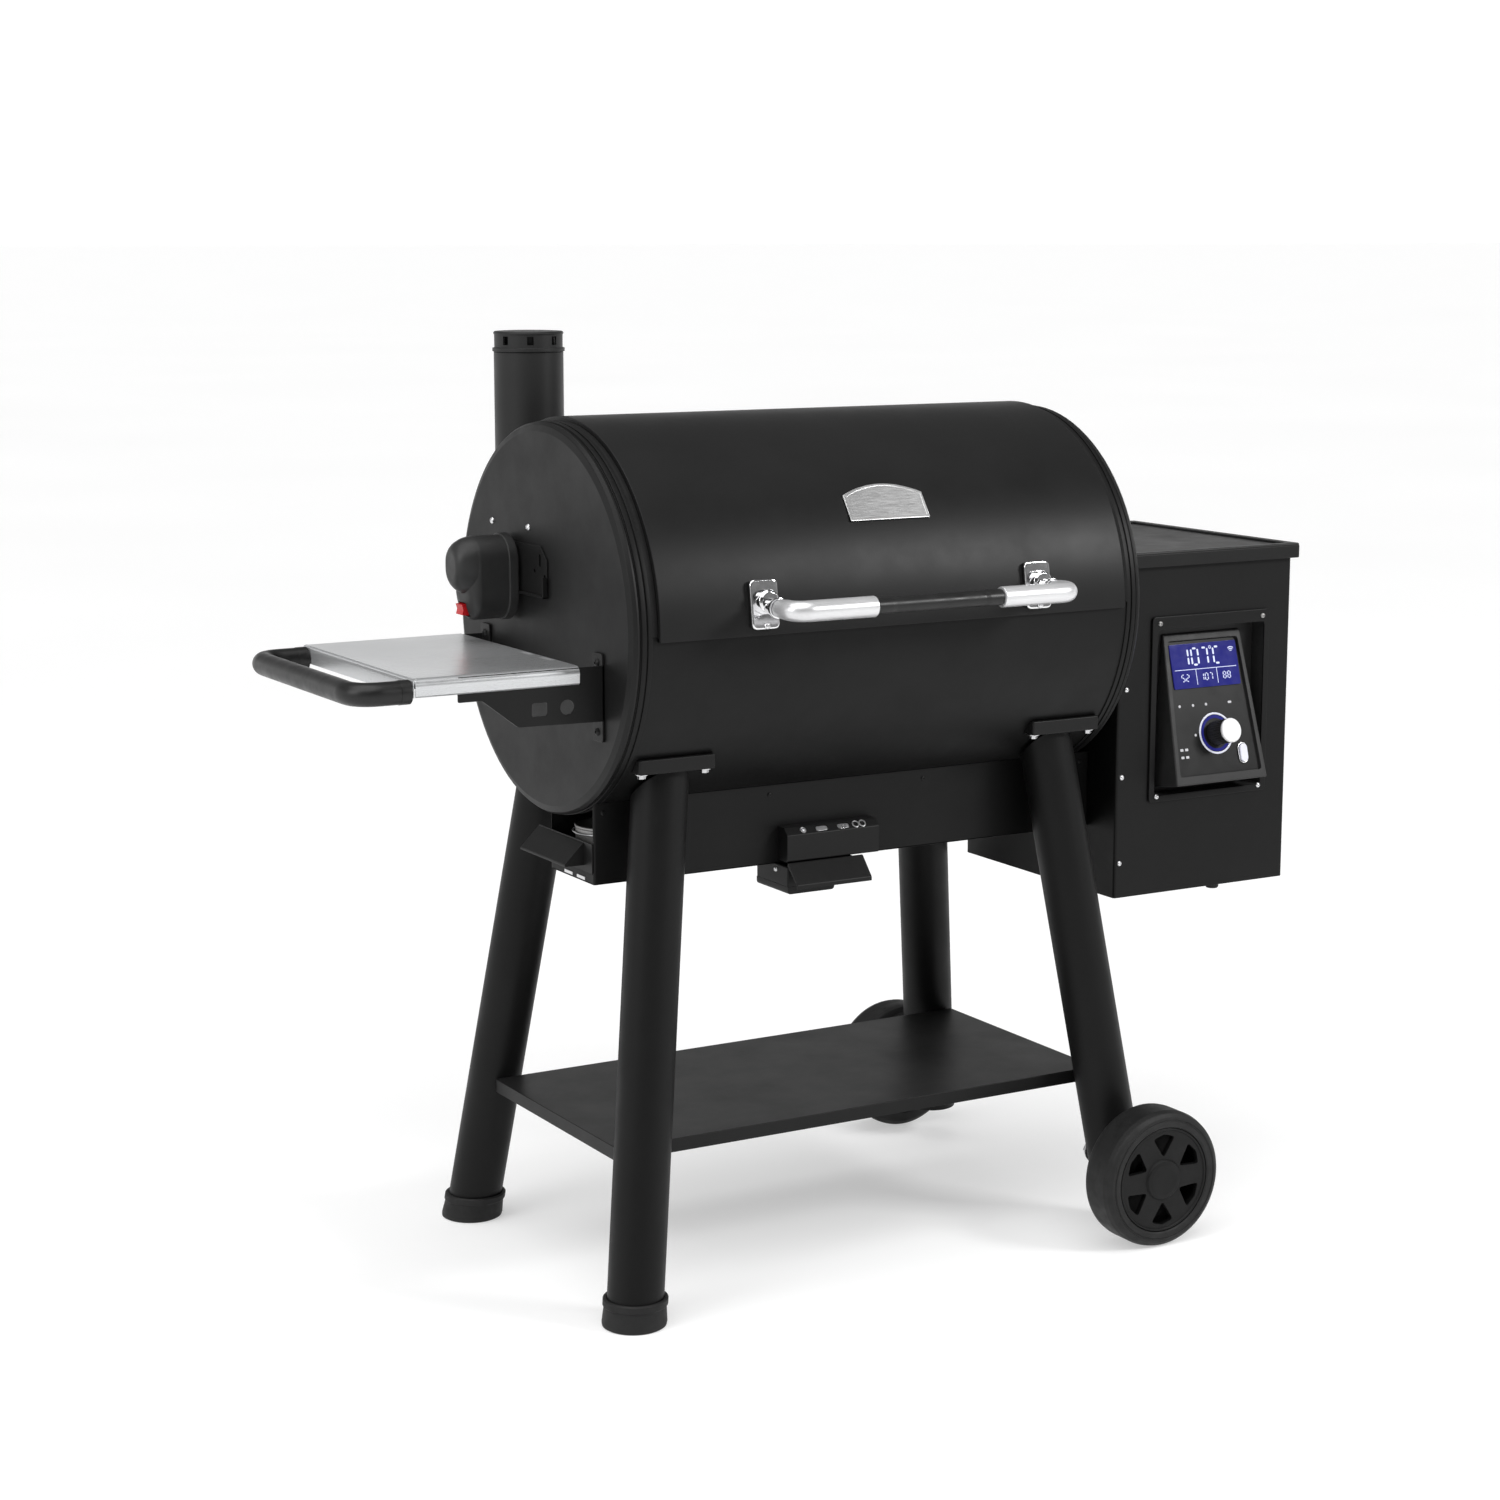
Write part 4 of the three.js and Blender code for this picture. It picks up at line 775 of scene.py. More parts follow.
def ash_drawer():
    """Drawer with a deeper left part and a sloping pull."""
    x0, y0, z0, x1, y1, top = extent("ash_drawer")
    z1, front, wall = 518.4, y0 + 24, 1.5
    sump, sump_x = z0 + 9, x0 + 69
    pan = carve(block(x0, front, sump, x1, y1, z1, 2, 3),
                block(x0 + wall, front + wall, sump + wall, x1 - wall, y1 - wall, z1 + 9, 1))
    section = rounded([(x0, z0), (sump_x, z0), (sump_x, sump + 1), (x0, sump + 1)], [5, 5, 0.5, 0.5])
    deep = carve(prism(section, "y", front, y1, 1.2),
                 block(x0 + wall, front + wall, z0 + wall, sump_x - wall, y1 - wall, z1, 1))
    low = 494
    section = [(front + 0.5, top), (front - 2, top), (y0, low + 5), (y0, low), (y0 + 2, low),
               (y0 + 2, low + 4.4),
               (front + 0.5, top - 4)]
    pull = prism(rounded(section, [0.4, 1.4, 3, 0.7, 0.7, 1.6, 0.4]), "x", x0, x1, 0.8)
    make("ash_box", [pan, deep, pull], PAINT, "ash_drawer", body="ash_drawer")
    make("ash_box_rivets", [screw((x0, front + 30, z1 - 8), (-1, 0, 0), 3.4, 1.8)], STEEL,
         body="ash_drawer")


# ---- legs, feet, wheels and shelf ------------------------------------------------
FOOT_X, FOOT_Y = 370.8, 235
SPLAY = 0.131
LEG_R = 35
CORNERS = [(f"{end}_{side}", sx, sy) for side, sx in SIDES for end, sy in ENDS]


def leg_ring(sx, sy, z, r, sides=48):
    """Level ring of points round a leaning leg."""
    along = Vector((-sx * SPLAY, -sy * SPLAY, 1)).normalized()
    side = along.orthogonal().normalized()
    up = along.cross(side)
    centre = Vector((sx * (FOOT_X - SPLAY * z), sy * (FOOT_Y - SPLAY * z), z))
    outs = [side * u + up * v for u, v in circle(0, 0, r, sides)]
    return [centre + out - along * (out.z / along.z) for out in outs]


def leaning(sx, sy, profile, closed=False, sides=48):
    """Profile of (radius, height) rings round a leg's own line, with level ends."""
    points = [p for r, z in profile for p in leg_ring(sx, sy, z, r, sides)]
    count = len(profile)
    faces = []
    for i in range(count if closed else count - 1):
        for k in range(sides):
            a, b, m = i * sides, (i + 1) % count * sides, (k + 1) % sides
            faces.append((a + k, a + m, b + m, b + k))
    if not closed:
        faces += [tuple(range(sides)), tuple(range((count - 1) * sides, count * sides))]
    return raw(points, faces)


def legs():
    for corner, sx, sy in CORNERS:
        z0, z1 = extent(f"leg_{corner}")[2::3]
        inner = LEG_R - 2
        wall = [(inner, z0), (LEG_R - 0.6, z0), (LEG_R, z0 + 0.8), (LEG_R, z1), (inner, z1)]
        tube = carve(leaning(sx, sy, wall, closed=True), barrel_tool(BARREL_R + 5.6))
        make(f"leg_tube_{corner}", [tube], SHADED_PAINT, f"leg_{corner}")


def brackets():
    """Saddle against the barrel with a cheek at each side, and a level lip that is bolted to the leg."""
    r, seat = BARREL_R + 0.4, 684
    for corner, sx, sy in CORNERS:
        x0, x1 = extent(f"leg_bracket_{corner}")[::3]
        angles = (-61, -39) if sy < 0 else (-141, -119)
        shapes = [sector(r, r + 4, *angles, x0, x1, 0.7, 2)]
        shapes += [sector(r, r + 17, *angles, x, x + 3, 0.7, 2) for x in (x0, x1 - 3)]
        skirt = carve(joined(shapes), block(x0 - 9, -300, 500, x1 + 9, 300, seat, 0), operation="INTERSECT")
        near, far = (-196, -168) if sy < 0 else (168, 196)
        lip = carve(prism(rectangle(x0, near, x1, far, 3), "z", 666, seat, 1.6, 3), barrel_tool(r))
        make(f"bracket_{corner}", [lip, skirt], PAINT, f"leg_bracket_{corner}")
        bolts = [screw((x, sy * 184, 665.6), (0, 0, -1), 5.2, 4.4, hexagon=True) for x in (x0 + 9, x1 - 9)]
        make(f"bracket_bolts_{corner}", bolts, STEEL)


def feet():
    for end, sy in ENDS:
        top, r = extent(f"foot_cap_{end}")[5], 40
        wall = [(r - 3, 0), (r - 0.6, 1.4), (r, 5), (r - 1.6, 22), (r - 1.4, 24), (r, 25.5), (r, top - 1.5),
                (r - 1.5, top), (LEG_R + 0.9, top), (LEG_R + 0.5, top - 1), (LEG_R + 0.5, 5),
                (LEG_R - 4, 5)]
        make(f"foot_{end}", [leaning(-1, sy, wall)], RUBBER, f"foot_cap_{end}")


def wheels():
    """Tyre, six-window hub with a closed back, and the bolt that it turns on."""
    for end, sy in ENDS:
        cx, _, cz = joint_at(f"{end}_wheel_spin")
        _, y0, z0, _, y1, z1 = extent(f"tyre_{end}")
        near, far = (y1, y0) if sy < 0 else (y0, y1)
        r, width, hub_r, centre = (z1 - z0) / 2, abs(far - near), 70, (cx, 0, cz)

        def outward(profile):
            """Distances from the wheel's inner side made into places along Y."""
            return [(p[0], near + sy * p[1]) for p in profile]

        tread = [(hub_r, 1), (hub_r + 2, 0), (84, 0), (90, 5), (r, 11), (r, width - 12),
                 (88.6, width - 4.5),
                 (84, width - 1), (81, width - 0.4), (80, width - 1.6), (78.6, width - 1.6),
                 (77.6, width - 0.4),
                 (hub_r + 2, width - 0.6), (hub_r, width - 2)]
        rounding = [0, 1, 4, 5, 6, 6, 5, 3, 0.5, 0.5, 0.5, 0.5, 1, 0]
        tyre = lathe(outward(rounded(tread, rounding, 5)), "y", centre, 96, True)
        make(f"tyre_ring_{end}", [tyre], TYRE, f"tyre_{end}", body=f"{end}_wheel")

        face = near + sy * (width - 3.5)
        windows = [rounded([polar(cx, cz, *p)
                            for p in ((30, mid), (58.5, mid - 17), (61, mid), (58.5, mid + 17))],
                           [3, 3.5, 12, 3.5]) for mid in range(30, 390, 60)]
        rim = [(64.6, 16), (69.4, 16), (69.4, width - 3.2), (68.4, width - 2), (66.4, width - 2),
               (65.4, width - 3.4), (64.6, width - 6)]
        boss = [(9, -5.5), (19, -5.5), (21, width - 12), (9, width - 12)]
        cap = [(0, width - 9), (27, width - 9), (28, width - 4), (25.5, width - 0.8), (20, width - 0.2),
               (0, width - 0.2)]
        shapes = [plate(circle(cx, cz, 66.6, 72), windows, "y", *sorted((face, face - sy * 8)), 0.9),
                  turned(outward(rim), 0.8, "y", centre, 96, True),
                  turned(outward(boss), 1, "y", centre, 48, True, 2),
                  turned(outward(cap), [0, 0.6, 2, 1.6, 2, 0], "y", centre)]
        low, high = sorted((face - sy * 16, face - sy * 6))
        shapes += [moved(block(20, low, -2, 65, high, 2, 0.6), placed(centre, 60 * i, "Y"))
                   for i in range(6)]
        shapes.append(prism(circle(cx, cz, 65, 72), "y", *sorted((near + sy * 15.6, near + sy * 17.6)),
                            0.3))
        make(f"hub_{end}", shapes, HUB, f"wheel_hub_{end}", body=f"{end}_wheel")

        inside = min(extent(f"axle_bolt_{end}")[1::3], key=abs)
        shank = sweep([(cx, inside + sy * 2, cz), (cx, near + sy * (width - 12), cz)], 7.8, 32)
        head = turned([(0, 0), (14, 0), (14, 7), (0, 7)], [0, 1.2, 1, 0], "y",
                      (cx, inside if sy > 0 else inside - 7, cz), 6, steps=2)
        washer = hoop(8, 17, 0, 1.5, "y", (cx, inside + sy * 8 - (0 if sy > 0 else 1.5), cz), 40, 0.4)
        make(f"axle_{end}", [shank, head, washer], STEEL, f"axle_bolt_{end}")


def lower_shelf():
    x0, y0, z0, x1, y1, z1 = extent("lower_shelf")
    plan = (x0, y0, x1, y1)
    top = prism(inset(plan, 0, 5), "z", z1 - 2, z1, 0.9, 3)
    skirt = plate(inset(plan, 0.1, 5), [inset(plan, 2, 3)], "z", z0, z1 - 1, 0.5)
    hole = [(LEG_R + 0.6, 150), (LEG_R + 0.6, 250)]
    sheets = [carve(sheet, *[leaning(sx, sy, hole) for _, sx, sy in CORNERS]) for sheet in (top, skirt)]
    folds = [block(x0 + 3, y - 1, z0, x1 - 3, y + 1, z0 + 2, 0.4) for y in (y0 + 12, y1 - 12)]
    make("shelf_tray", sheets + folds, PAINT, "lower_shelf")
    stiff = [prism(rectangle(x0 + 40, y - 14, x1 - 40, y + 14, 4), "z", z1 - 5, z1 - 2.2, 0.8)
             for y in (-70, 70)]
    make("shelf_stiffeners", stiff, PAINT)


# ---- hopper ------------------------------------------------------------------
BIN_FRONT = -146
THROAT = (427, -22, 553, 22)
HOPPER_PIN = (191, 877)


def funnel(plan, grow, z_top, z_low):
    """Four-sided funnel between the bin's plan and the throat."""
    points = [(u, v, z_top) for u, v in inset(plan, 0.01)] + [(u, v, z_low)
                                                              for u, v in inset(THROAT, -grow)]
    faces = [(0, 1, 2, 3), (4, 5, 6, 7)] + [(i, (i + 1) % 4, 4 + (i + 1) % 4, 4 + i) for i in range(4)]
    return raw(points, faces)


def hopper_bin():
    """Sheet bin: front wall with its ledge, funnel with a rim, throat."""
    x0, y0, z0, x1, y1, z1 = extent("hopper_bin")
    plan = (x0, BIN_FRONT, x1, y1)
    partition = block(x0, BIN_FRONT - 2, 688, x1, BIN_FRONT, z1, 0.5)
    ledge = block(x0, y0, z1 - 2, x1, BIN_FRONT, z1 - 0.2, 0.4)
    cone = carve(funnel(plan, 2, 686, 602), funnel(plan, 0, 688, 600))
    rim = plate(inset(plan, 0, 1), [inset(plan, 1.6, 1)], "z", 684, 690, 0.3)
    throat = plate(inset(THROAT, -2, 1), [inset(THROAT, 0, 1)], "z", z0, 604, 0.4)
    make("pellet_bin", [partition, ledge, cone, rim, throat], STEEL, "hopper_bin")


def hopper():
    """Open case with a window for the controller, holes for the auger and below, and the lid's hinge rod."""
    plan = x0, y0, x1, y1 = (385.5, -174, 672.9, 174)
    z0, z1 = 430, 876.5
    panel_x = joint_at("knob_turn")[0] - 3
    walls = plate(inset(plan, 0, 4), [inset(plan, 2, 2.2)], "z", z0, z1, 0.5)
    window = block(panel_x - 93, y0 - 5, 560, panel_x + 93, y0 + 5, 791, 0)
    floor = carve(prism(inset(plan, 0.2, 4), "z", z0, z0 + 2, 0.4),
                  block(445, -100, z0 - 5, 560, 100, z0 + 5, 0))
    spacer = plate(rectangle(-110, 700, 110, 800, 4), [rectangle(-106, 704, 106, 796, 3)], "x", 371,
                   x0 + 0.5, 0.5)
    arms = [block(x, y1 - 0.5, 871, x + 20, HOPPER_PIN[0], 875.6, 0.8) for x in (440, 600)]
    rod = sweep([(436, *HOPPER_PIN), (624, *HOPPER_PIN)], 2.9, 20)
    make("hopper_case", [carve(walls, window, auger_hole(x0 - 6, x0 + 8)), floor, spacer, *arms, rod],
         SHADED_PAINT,
         "hopper_box")
    stub = [(0, 421), (7.5, 421), (9, 423), (9, 428.5), (5, 429.6), (0, 429.6)]
    make("hopper_stub", [turned(stub, [0, 1, 1, 1, 1, 0], "z", (569, -152, 0), 32)], PLASTIC)
    places = [((x0 + by, y0, z), (0, -1, 0)) for by, z in ((8, 477), (9, 593), (14, 710))]
    places += [((x1, y, z), (1, 0, 0)) for y in (-150, 150) for z in (450, 650, 850)]
    places += [((x, y1, z), (0, 1, 0)) for x in (400, 658) for z in (450, 700)]
    make("hopper_screws", [screw(*place, 3.6, 2.2) for place in places], STEEL)
    # Thin dark marks on the back wall stand for the vent openings: painted shade, no holes are cut.
    slots = [prism(rectangle(x, 520, x + 4, 560, 2), "y", y1 + 0.1, y1 + 0.5, 0.1)
             for x in range(440, 500, 9)]
    make("hopper_vent_shade_marks", slots, SHADE_FILL)


def hopper_lid():
    """Pressed lid: rounded skirt, raised border and a lower middle panel."""
    x0, y0, z0, x1, _, z1 = extent("hopper_lid")
    y1 = 184
    plan = (x0, y0, x1, y1)
    shapes = [plate(inset(plan, 0.4, 5), [inset(plan, 15, 4)], "z", z1 - 4.5, z1, 1.6),
              plate(inset(plan, 0, 5), [inset(plan, 3, 3)], "z", z0 + 0.2, z1 - 3, 1.0)]
    for x in (480, 546):
        shapes.append(hoop(3.3, 6, x, x + 34, "x", (0, *HOPPER_PIN), 28, 0.8))
        shapes.append(block(x + 0.5, y1 - 3, 879, x + 33.5, 190, 882.6, 0.6))
    make("hopper_lid_rim", shapes, PAINT, "hopper_lid", body="hopper_lid")
    make("hopper_lid_panel", [prism(inset(plan, 12, 4), "z", z1 - 6, z1 - 3, 0.6)], LID_PANEL,
         body="hopper_lid")


# ---- controller ----------------------------------------------------------------
HOUSING = extent("control_panel")
HOUSING_X = (HOUSING[0] + HOUSING[3]) / 2
FACE_TOP = (HOUSING[4] - 4, HOUSING[5] - 2)
FACE_FOOT = (HOUSING[1], HOUSING[2] + 9)
TILT = math.atan2(FACE_TOP[0] - FACE_FOOT[0], FACE_TOP[1] - FACE_FOOT[1])
CONTROL = placed((HOUSING_X, *FACE_TOP), 90 - math.degrees(TILT), "X")
FACIA_TOP = -4.2
DISPLAY_TOP = -2.2
KNOB = (3, -136, 0)
FIGURES = {"1": "bc", "0": "abcdef", "7": "abc", "c": "adef", "5": "acdfg", "2": "abged", "8": "abcdefg"}


def bezel():
    x0, y0, z0, x1, y1, z1 = extent("control_bezel")
    plan = (x0, z0, x1, z1 - 8)
    inner = inset(plan, 9, 5)
    make("bezel_frame", [plate(rectangle(x0, z0, x1, z1, 6), [inner], "y", y0, y0 + 3, 0.9)], SHADED_PAINT,
         "control_bezel")
    # The pan takes the lighter copy of the paint: painted light that lifts the shade inside the recess.
    pan = plate(inset(plan, 7, 6), [inner], "y", y0 + 1, y1, 0.4)
    make("bezel_pan", [pan, prism(inset(plan, 8, 5), "y", y1 - 1.5, y1, 0.3)], LIT_PAINT)
    # The upper pair takes the darker steel finish, so it shows darker than the lower pair.
    for level, z, finish in (("upper", z1 - 9, DARK_STEEL), ("lower", z0 + 7.5, STEEL)):
        pair = [screw(((x0 + x1) / 2 + s * 86.5, y0, z), (0, -1, 0), 3.6, 2.4) for s in (-1, 1)]
        make(f"bezel_screws_{level}", pair, finish)


def control_panel():
    """Wedge with a recess, and the film at the bottom of it."""
    _, y0, z0, _, y1, z1 = HOUSING
    corners = []
    for s in (-1, 1):
        top_x, foot_x = HOUSING_X + s * 65.5, HOUSING_X + s * 76.5
        corners += [(top_x, *FACE_TOP), (foot_x, *FACE_FOOT), (foot_x, y1, z0), (top_x, y1, z1)]
    faces = [(0, 1, 2, 3), (4, 5, 6, 7), (0, 1, 5, 4), (1, 2, 6, 5), (2, 3, 7, 6), (3, 0, 4, 7)]
    wedge = soften(raw(corners, faces), 3.2, 3)
    opening = rounded([(-59, -8), (59, -8), (69, -191), (-69, -191)], 5)
    recess = moved(prism(opening, "z", -5, 8, 0), CONTROL)
    make("control_housing", [carve(wedge, recess)], CASE, "control_panel")
    facia = rounded([(-57.6, -9.4), (57.6, -9.4), (67.4, -189.6), (-67.4, -189.6)], 4)
    make("control_facia", [prism(facia, "z", -4.9, FACIA_TOP, 0.2)], FACIA, at=CONTROL)


def mark(outline, thick=0.15, base=DISPLAY_TOP):
    return prism(outline, "z", base, base + thick, 0)


def digit(segments, u, v, w, h, t):
    """Seven-segment figure as flat bars; segments are letters a to g."""
    rows = {"a": v, "g": v - h / 2, "d": v - h}
    bars = {name: (u + t, y - t / 2, u + w - t, y + t / 2) for name, y in rows.items()}
    for name, x, y in (("f", u, v), ("b", u + w, v), ("e", u, v - h / 2), ("c", u + w, v - h / 2)):
        bars[name] = (x - t / 2, y - h / 2 + t * 0.4, x + t / 2, y - t * 0.4)
    return [mark(rectangle(*bars[s], t * 0.3, 1), 0.25) for s in segments]


def display():
    """Glass with figures, a degree sign, dividing lines and a wave sign, and the film's small symbols."""
    glass = prism(rectangle(-56, -73, 56, -13, 2.5), "z", -4.1, DISPLAY_TOP, 0.4)
    make("display_glass", [glass], LCD, "display_window", at=CONTROL)
    marks = [hoop(1.2, 2.2, DISPLAY_TOP, DISPLAY_TOP + 0.2, "z", (11.5, -20, 0), 16)]
    for figure, u in (("1", -38), ("0", -21), ("7", -5), ("c", 16)):
        marks += digit(FIGURES[figure], u, -20, 11, 22, 2.6)
    lines = [(-52, -48.4, 52, -47.6)] + [(u - 0.4, -69, u + 0.4, -48) for u in (-17, 18)]
    marks += [mark(rectangle(*line)) for line in lines]
    for figures, u in (("52", -42), ("107", -10), ("88", 28)):
        for i, figure in enumerate(figures):
            marks += digit(FIGURES[figure], u + 7.5 * i, -54.5, 4.6, 9, 1.2)
    marks += [mark(arc(46, -29, r, 50, 130, 8) + arc(46, -29, r - 1.2, 130, 50, 8)) for r in (3, 5.4, 7.8)]
    make("display_marks", marks, DIGITS, at=CONTROL)
    icons = [drum(r, FACIA_TOP, -4.0, "z", (u, v, 0), 16)
             for u, v, r in ((-51, -96, 1.9), (-28.5, -96, 1.9), (-6.6, -96, 1.9), (-31, -136, 1.8))]
    keys = [rectangle(u, v, u + 5, v + 3.4, 1) for u in (-60, -52) for v in (-166, -156)]
    icons += [mark(key, 0.2, FACIA_TOP) for key in (*keys, rectangle(30.5, -97.5, 36.5, -94.5, 1.4))]
    make("facia_icons", icons, ICONS, at=CONTROL)


def knob_and_button():
    make("knob_halo", [hoop(25.4, 28, FACIA_TOP, -3.2, "z", KNOB, 64, 0.4)], WHITE_LIGHT, at=CONTROL)
    make("knob_well", [hoop(20.5, 24.6, -4.1, -3.8, "z", KNOB)], LCD, at=CONTROL)
    low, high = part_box("control_knob")
    corners = [Vector((x, y, z)) / MM for x in (low.x, high.x) for y in (low.y, high.y)
               for z in (low.z, high.z)]
    top = min(30.4, max((CONTROL.inverted() @ corner).z for corner in corners))
    skirt = [(0, -3.6), (15.4, -3.6), (16, -2), (15.2, top - 5), (14.8, top - 3.6), (0, top - 3.6)]
    shapes = [turned(skirt, [0, 0.8, 1, 1, 0.6, 0], "z", KNOB)]
    shapes += [moved(prism(circle(15.4, 0, 0.9, 8), "z", -1, top - 5.4, 0.2), placed(KNOB, 12 * i, "Z"))
               for i in range(30)]
    make("knob_body", shapes, PLASTIC, "control_knob", body="knob", at=CONTROL)
    cap = [(0, top - 4), (15.8, top - 4), (16.4, top - 3), (16.4, top - 1), (15.4, top), (0, top)]
    make("knob_cap", [turned(cap, [0, 0.3, 0.5, 0.8, 0.8, 0], "z", KNOB)], KNOB_CAP, body="knob",
         at=CONTROL)
    key, rim_out, rim_in = [stadium(43, -172, -160, r, 12) for r in (6, 8, 6.5)]
    make("start_key", [prism(key, "z", -2.6, 0.4, 0.8, 3)], WHITE_LIGHT, "start_button", body="button",
         at=CONTROL)
    make("start_key_rim", [plate(rim_out, [rim_in], "z", FACIA_TOP, -2.2, 0.4)], STEEL, at=CONTROL)


def inlet():
    """Mains inlet: collar with its two corners cut, back wall and three pins."""
    x0, y0, z0, x1, y1, z1 = extent("power_inlet")
    u0, v0, u1, v1, cut = x0 + 6.5, z0 + 6.5, x1 - 6.5, z1 - 6.5, 4.5
    shape = [(u0, v0), (u1, v0), (u1, v1 - cut), (u1 - cut, v1), (u0 + cut, v1), (u0, v1 - cut)]
    collar = plate(rectangle(x0, z0, x1, z1, 3), [rounded(shape, 1)], "y", y0, y1, 0.6)
    back = prism(rectangle(x0 + 1, z0 + 1, x1 - 1, z1 - 1, 2), "y", y0, y0 + 2.6, 0.2)
    make("inlet_shell", [collar, back], PLASTIC, "power_inlet")
    mid = (x0 + x1) / 2
    pins = [block(x - 1, y0 + 2, z - 2, x + 1, y1 - 1.5, z + 2, 0.3)
            for x, z in ((mid - 7, z0 + 13), (mid + 7, z0 + 13), (mid, z0 + 18))]
    make("inlet_pins", pins, STEEL)


# ---- chimney --------------------------------------------------------------------
def chimney():
    """Tube with a closed foot, and the stub that joins it to the barrel."""
    x0, _, z0, x1, y1, z1 = extent("stack_tube")
    r = (x1 - x0) / 2
    cx, cy = x0 + r, y1 - r
    stub_at, bore = (cx, 0, 892), 36
    tube = [(0, z0), (r - 3, z0), (r, z0 + 3), (r, z1 - 0.6), (r - 0.6, z1), (r - 2, z1), (r - 2, z0 + 2.4),
            (0, z0 + 2.4)]
    column = turned(tube, [0, 1, 2, 0.3, 0.2, 0.2, 1, 0], "z", (cx, cy, 0))
    stub = carve(drum(38, 150, cy, "y", stub_at), barrel_tool(BARREL_R + 0.5),
                 drum(bore, 140, cy + 5, "y", stub_at), drum(r - 1, 800, 1000, "z", (cx, cy, 0)))
    opened = carve(column, drum(bore, 150, cy, "y", stub_at))
    seam = prism(rectangle(cx - 3, cy + r - 0.6, cx + 3, cy + r + 0.6, 0.5), "z", z0 + 4, z1 - 2, 0.3)
    # The tube takes the lighter copy of the paint: painted light.
    make("chimney_tube", [opened, stub, seam], LIT_PAINT, "stack_tube")


def chimney_cap():
    """Skirt, a collar with eight windows, a pressed top and the inner tube that closes the view."""
    x0, y0, z0, x1, y1, z1 = extent("stack_cap")
    at, r = ((x0 + x1) / 2, (y0 + y1) / 2, 0), (x1 - x0) / 2
    skirt = [(43.4, z0), (r, z0), (r, z0 + 4.6), (44.4, z0 + 5.6), (43.4, z0 + 5.6)]
    crown = [(42.6, z0 + 0.4), (44.8, z0 + 0.4), (45, z1 - 3), (42.6, z1 - 3)]
    top = [(0, z1 - 3.4), (43.4, z1 - 3.4), (45.6, z1 - 4.6), (46, z1 - 2.4), (44.6, z1 - 0.4), (38, z1),
           (0, z1)]
    windows = [moved(block(-60, -4.2, z0 + 9, 60, 4.2, z0 + 20, 0), placed(at, 22.5 + 45 * i, "Z"))
               for i in range(4)]
    shapes = [turned(skirt, 0.7, "z", at, 72, True),
              carve(turned(crown, 0.4, "z", at, 72, True, 2), *windows),
              turned(top, [0, 0.5, 0.5, 1, 1.6, 4, 0], "z", at, 72, steps=4),
              hoop(34, 36, z0 + 1, z1 - 3.2, "z", at, 48)]
    make("chimney_crown", shapes, LIT_PAINT, "stack_cap")


# ---- side shelf -------------------------------------------------------------------
def side_shelf():
    """Sheet rolled down at its front and back, with a folded outer edge and two tabs at the barrel."""
    x0, y0, z0, x1, y1, z1 = extent("side_shelf")
    roll, sheet = 9, 1.6
    rolls = ((y0 + roll, z1 - roll), (y1 - roll, z1 - roll))
    front = arc(*rolls[0], roll, 90, 195, 10) + [(y0 + 0.6, z0 + 2), (y0 + 2.6, z0)]
    back = [(y1 - 2.6, z0), (y1 - 0.6, z0 + 2)] + arc(*rolls[1], roll, -15, 90, 10)
    inside = arc(*rolls[0], roll - sheet, 195, 90, 10) + arc(*rolls[1], roll - sheet, 90, -15, 10)
    outline = front + [(y0 + 2.8, z0 + 1)] + inside + [(y1 - 2.8, z0 + 1)] + back
    tab_ys = (-40, -96)
    slots = [block(x1 - 9, y - 15, z1 - 6, x1 - 3, y + 15, z1 + 6, 0) for y in tab_ys]
    edge = [(x0 + 5, z1 - 0.2), (x0 + 0.4, z1 - 1.4), (x0, z1 - 6), (x0, z0), (x0 + sheet, z0),
            (x0 + sheet, z1 - 6), (x0 + 2.2, z1 - 2), (x0 + 5, z1 - 1.6)]
    fold = prism(rounded(edge, [0, 2.5, 2.5, 0.3, 0.3, 1, 1, 0]), "y", y0 + 3, y1 - 3, 0.3)
    make("shelf_sheet", [carve(prism(outline, "x", x0 + 2, x1, 0.25), *slots), fold], BRUSHED, "side_shelf")
    tabs = [block(x1 - 8.6, y - 14.6, z1 - 3, x1 - 3.4, y + 14.6, z1 - 0.2, 0.8) for y in tab_ys]
    make("shelf_tabs", tabs, POLISHED)


def shelf_handle():
    x0, y0, z0, x1, y1, z1 = extent("shelf_handle")
    z, r = (z0 + z1) / 2, (z1 - z0) / 2
    near, far = y0 + r, y1 - r
    path = rounded([(x1, near, z), (x0 + r, near, z), (x0 + r, far, z), (x1, far, z)], [0, 50, 50, 0], 16,
                   False)
    cuffs = [sweep([(x1 - 14, y, z), (x1 - 0.4, y, z)], r + 0.5, 36, 0.5) for y in (near, far)]
    make("shelf_rail", [sweep(path, r, 36, 1.2), *cuffs], SOFT_GRIP, "shelf_handle")


def shelf_brackets():
    """Arms with a slot and a round hole, each screwed to the barrel's end by a flange."""
    for end, sy in ENDS:
        x0, y0, z0, x1, y1, z1 = extent(f"shelf_bracket_{end}")
        outer = y0 if sy < 0 else y1
        screw_y, screw_zs = outer - sy * 13, (z0 + 12, z1 - 12)
        shape = rounded([(x0, 768), (-530, 768), (-484, 733), (x1, 731), (x1, z1 - 14), (x0, z1 - 14)],
                        [2, 8, 10, 3, 1, 1])
        holes = [rectangle(-466, 744, -446, 760, 3), circle(-420, 752, 9, 28)]
        arm = plate(shape, holes, "y", *sorted((outer, outer - sy * 3)), 0.6)
        near, far = sorted((outer, outer - sy * 26))
        flange = plate(rectangle(near, z0, far, z1, 5), [circle(screw_y, z, 3, 16) for z in screw_zs],
                       "x", x1 - 3, x1, 0.6)
        make(f"shelf_arm_{end}", [arm, flange], PAINT, f"shelf_bracket_{end}")
        bolts = [screw((x1 - 3, screw_y, z), (-1, 0, 0), 4.8, 3.4) for z in screw_zs]
        make(f"shelf_arm_screws_{end}", bolts, PAINT)


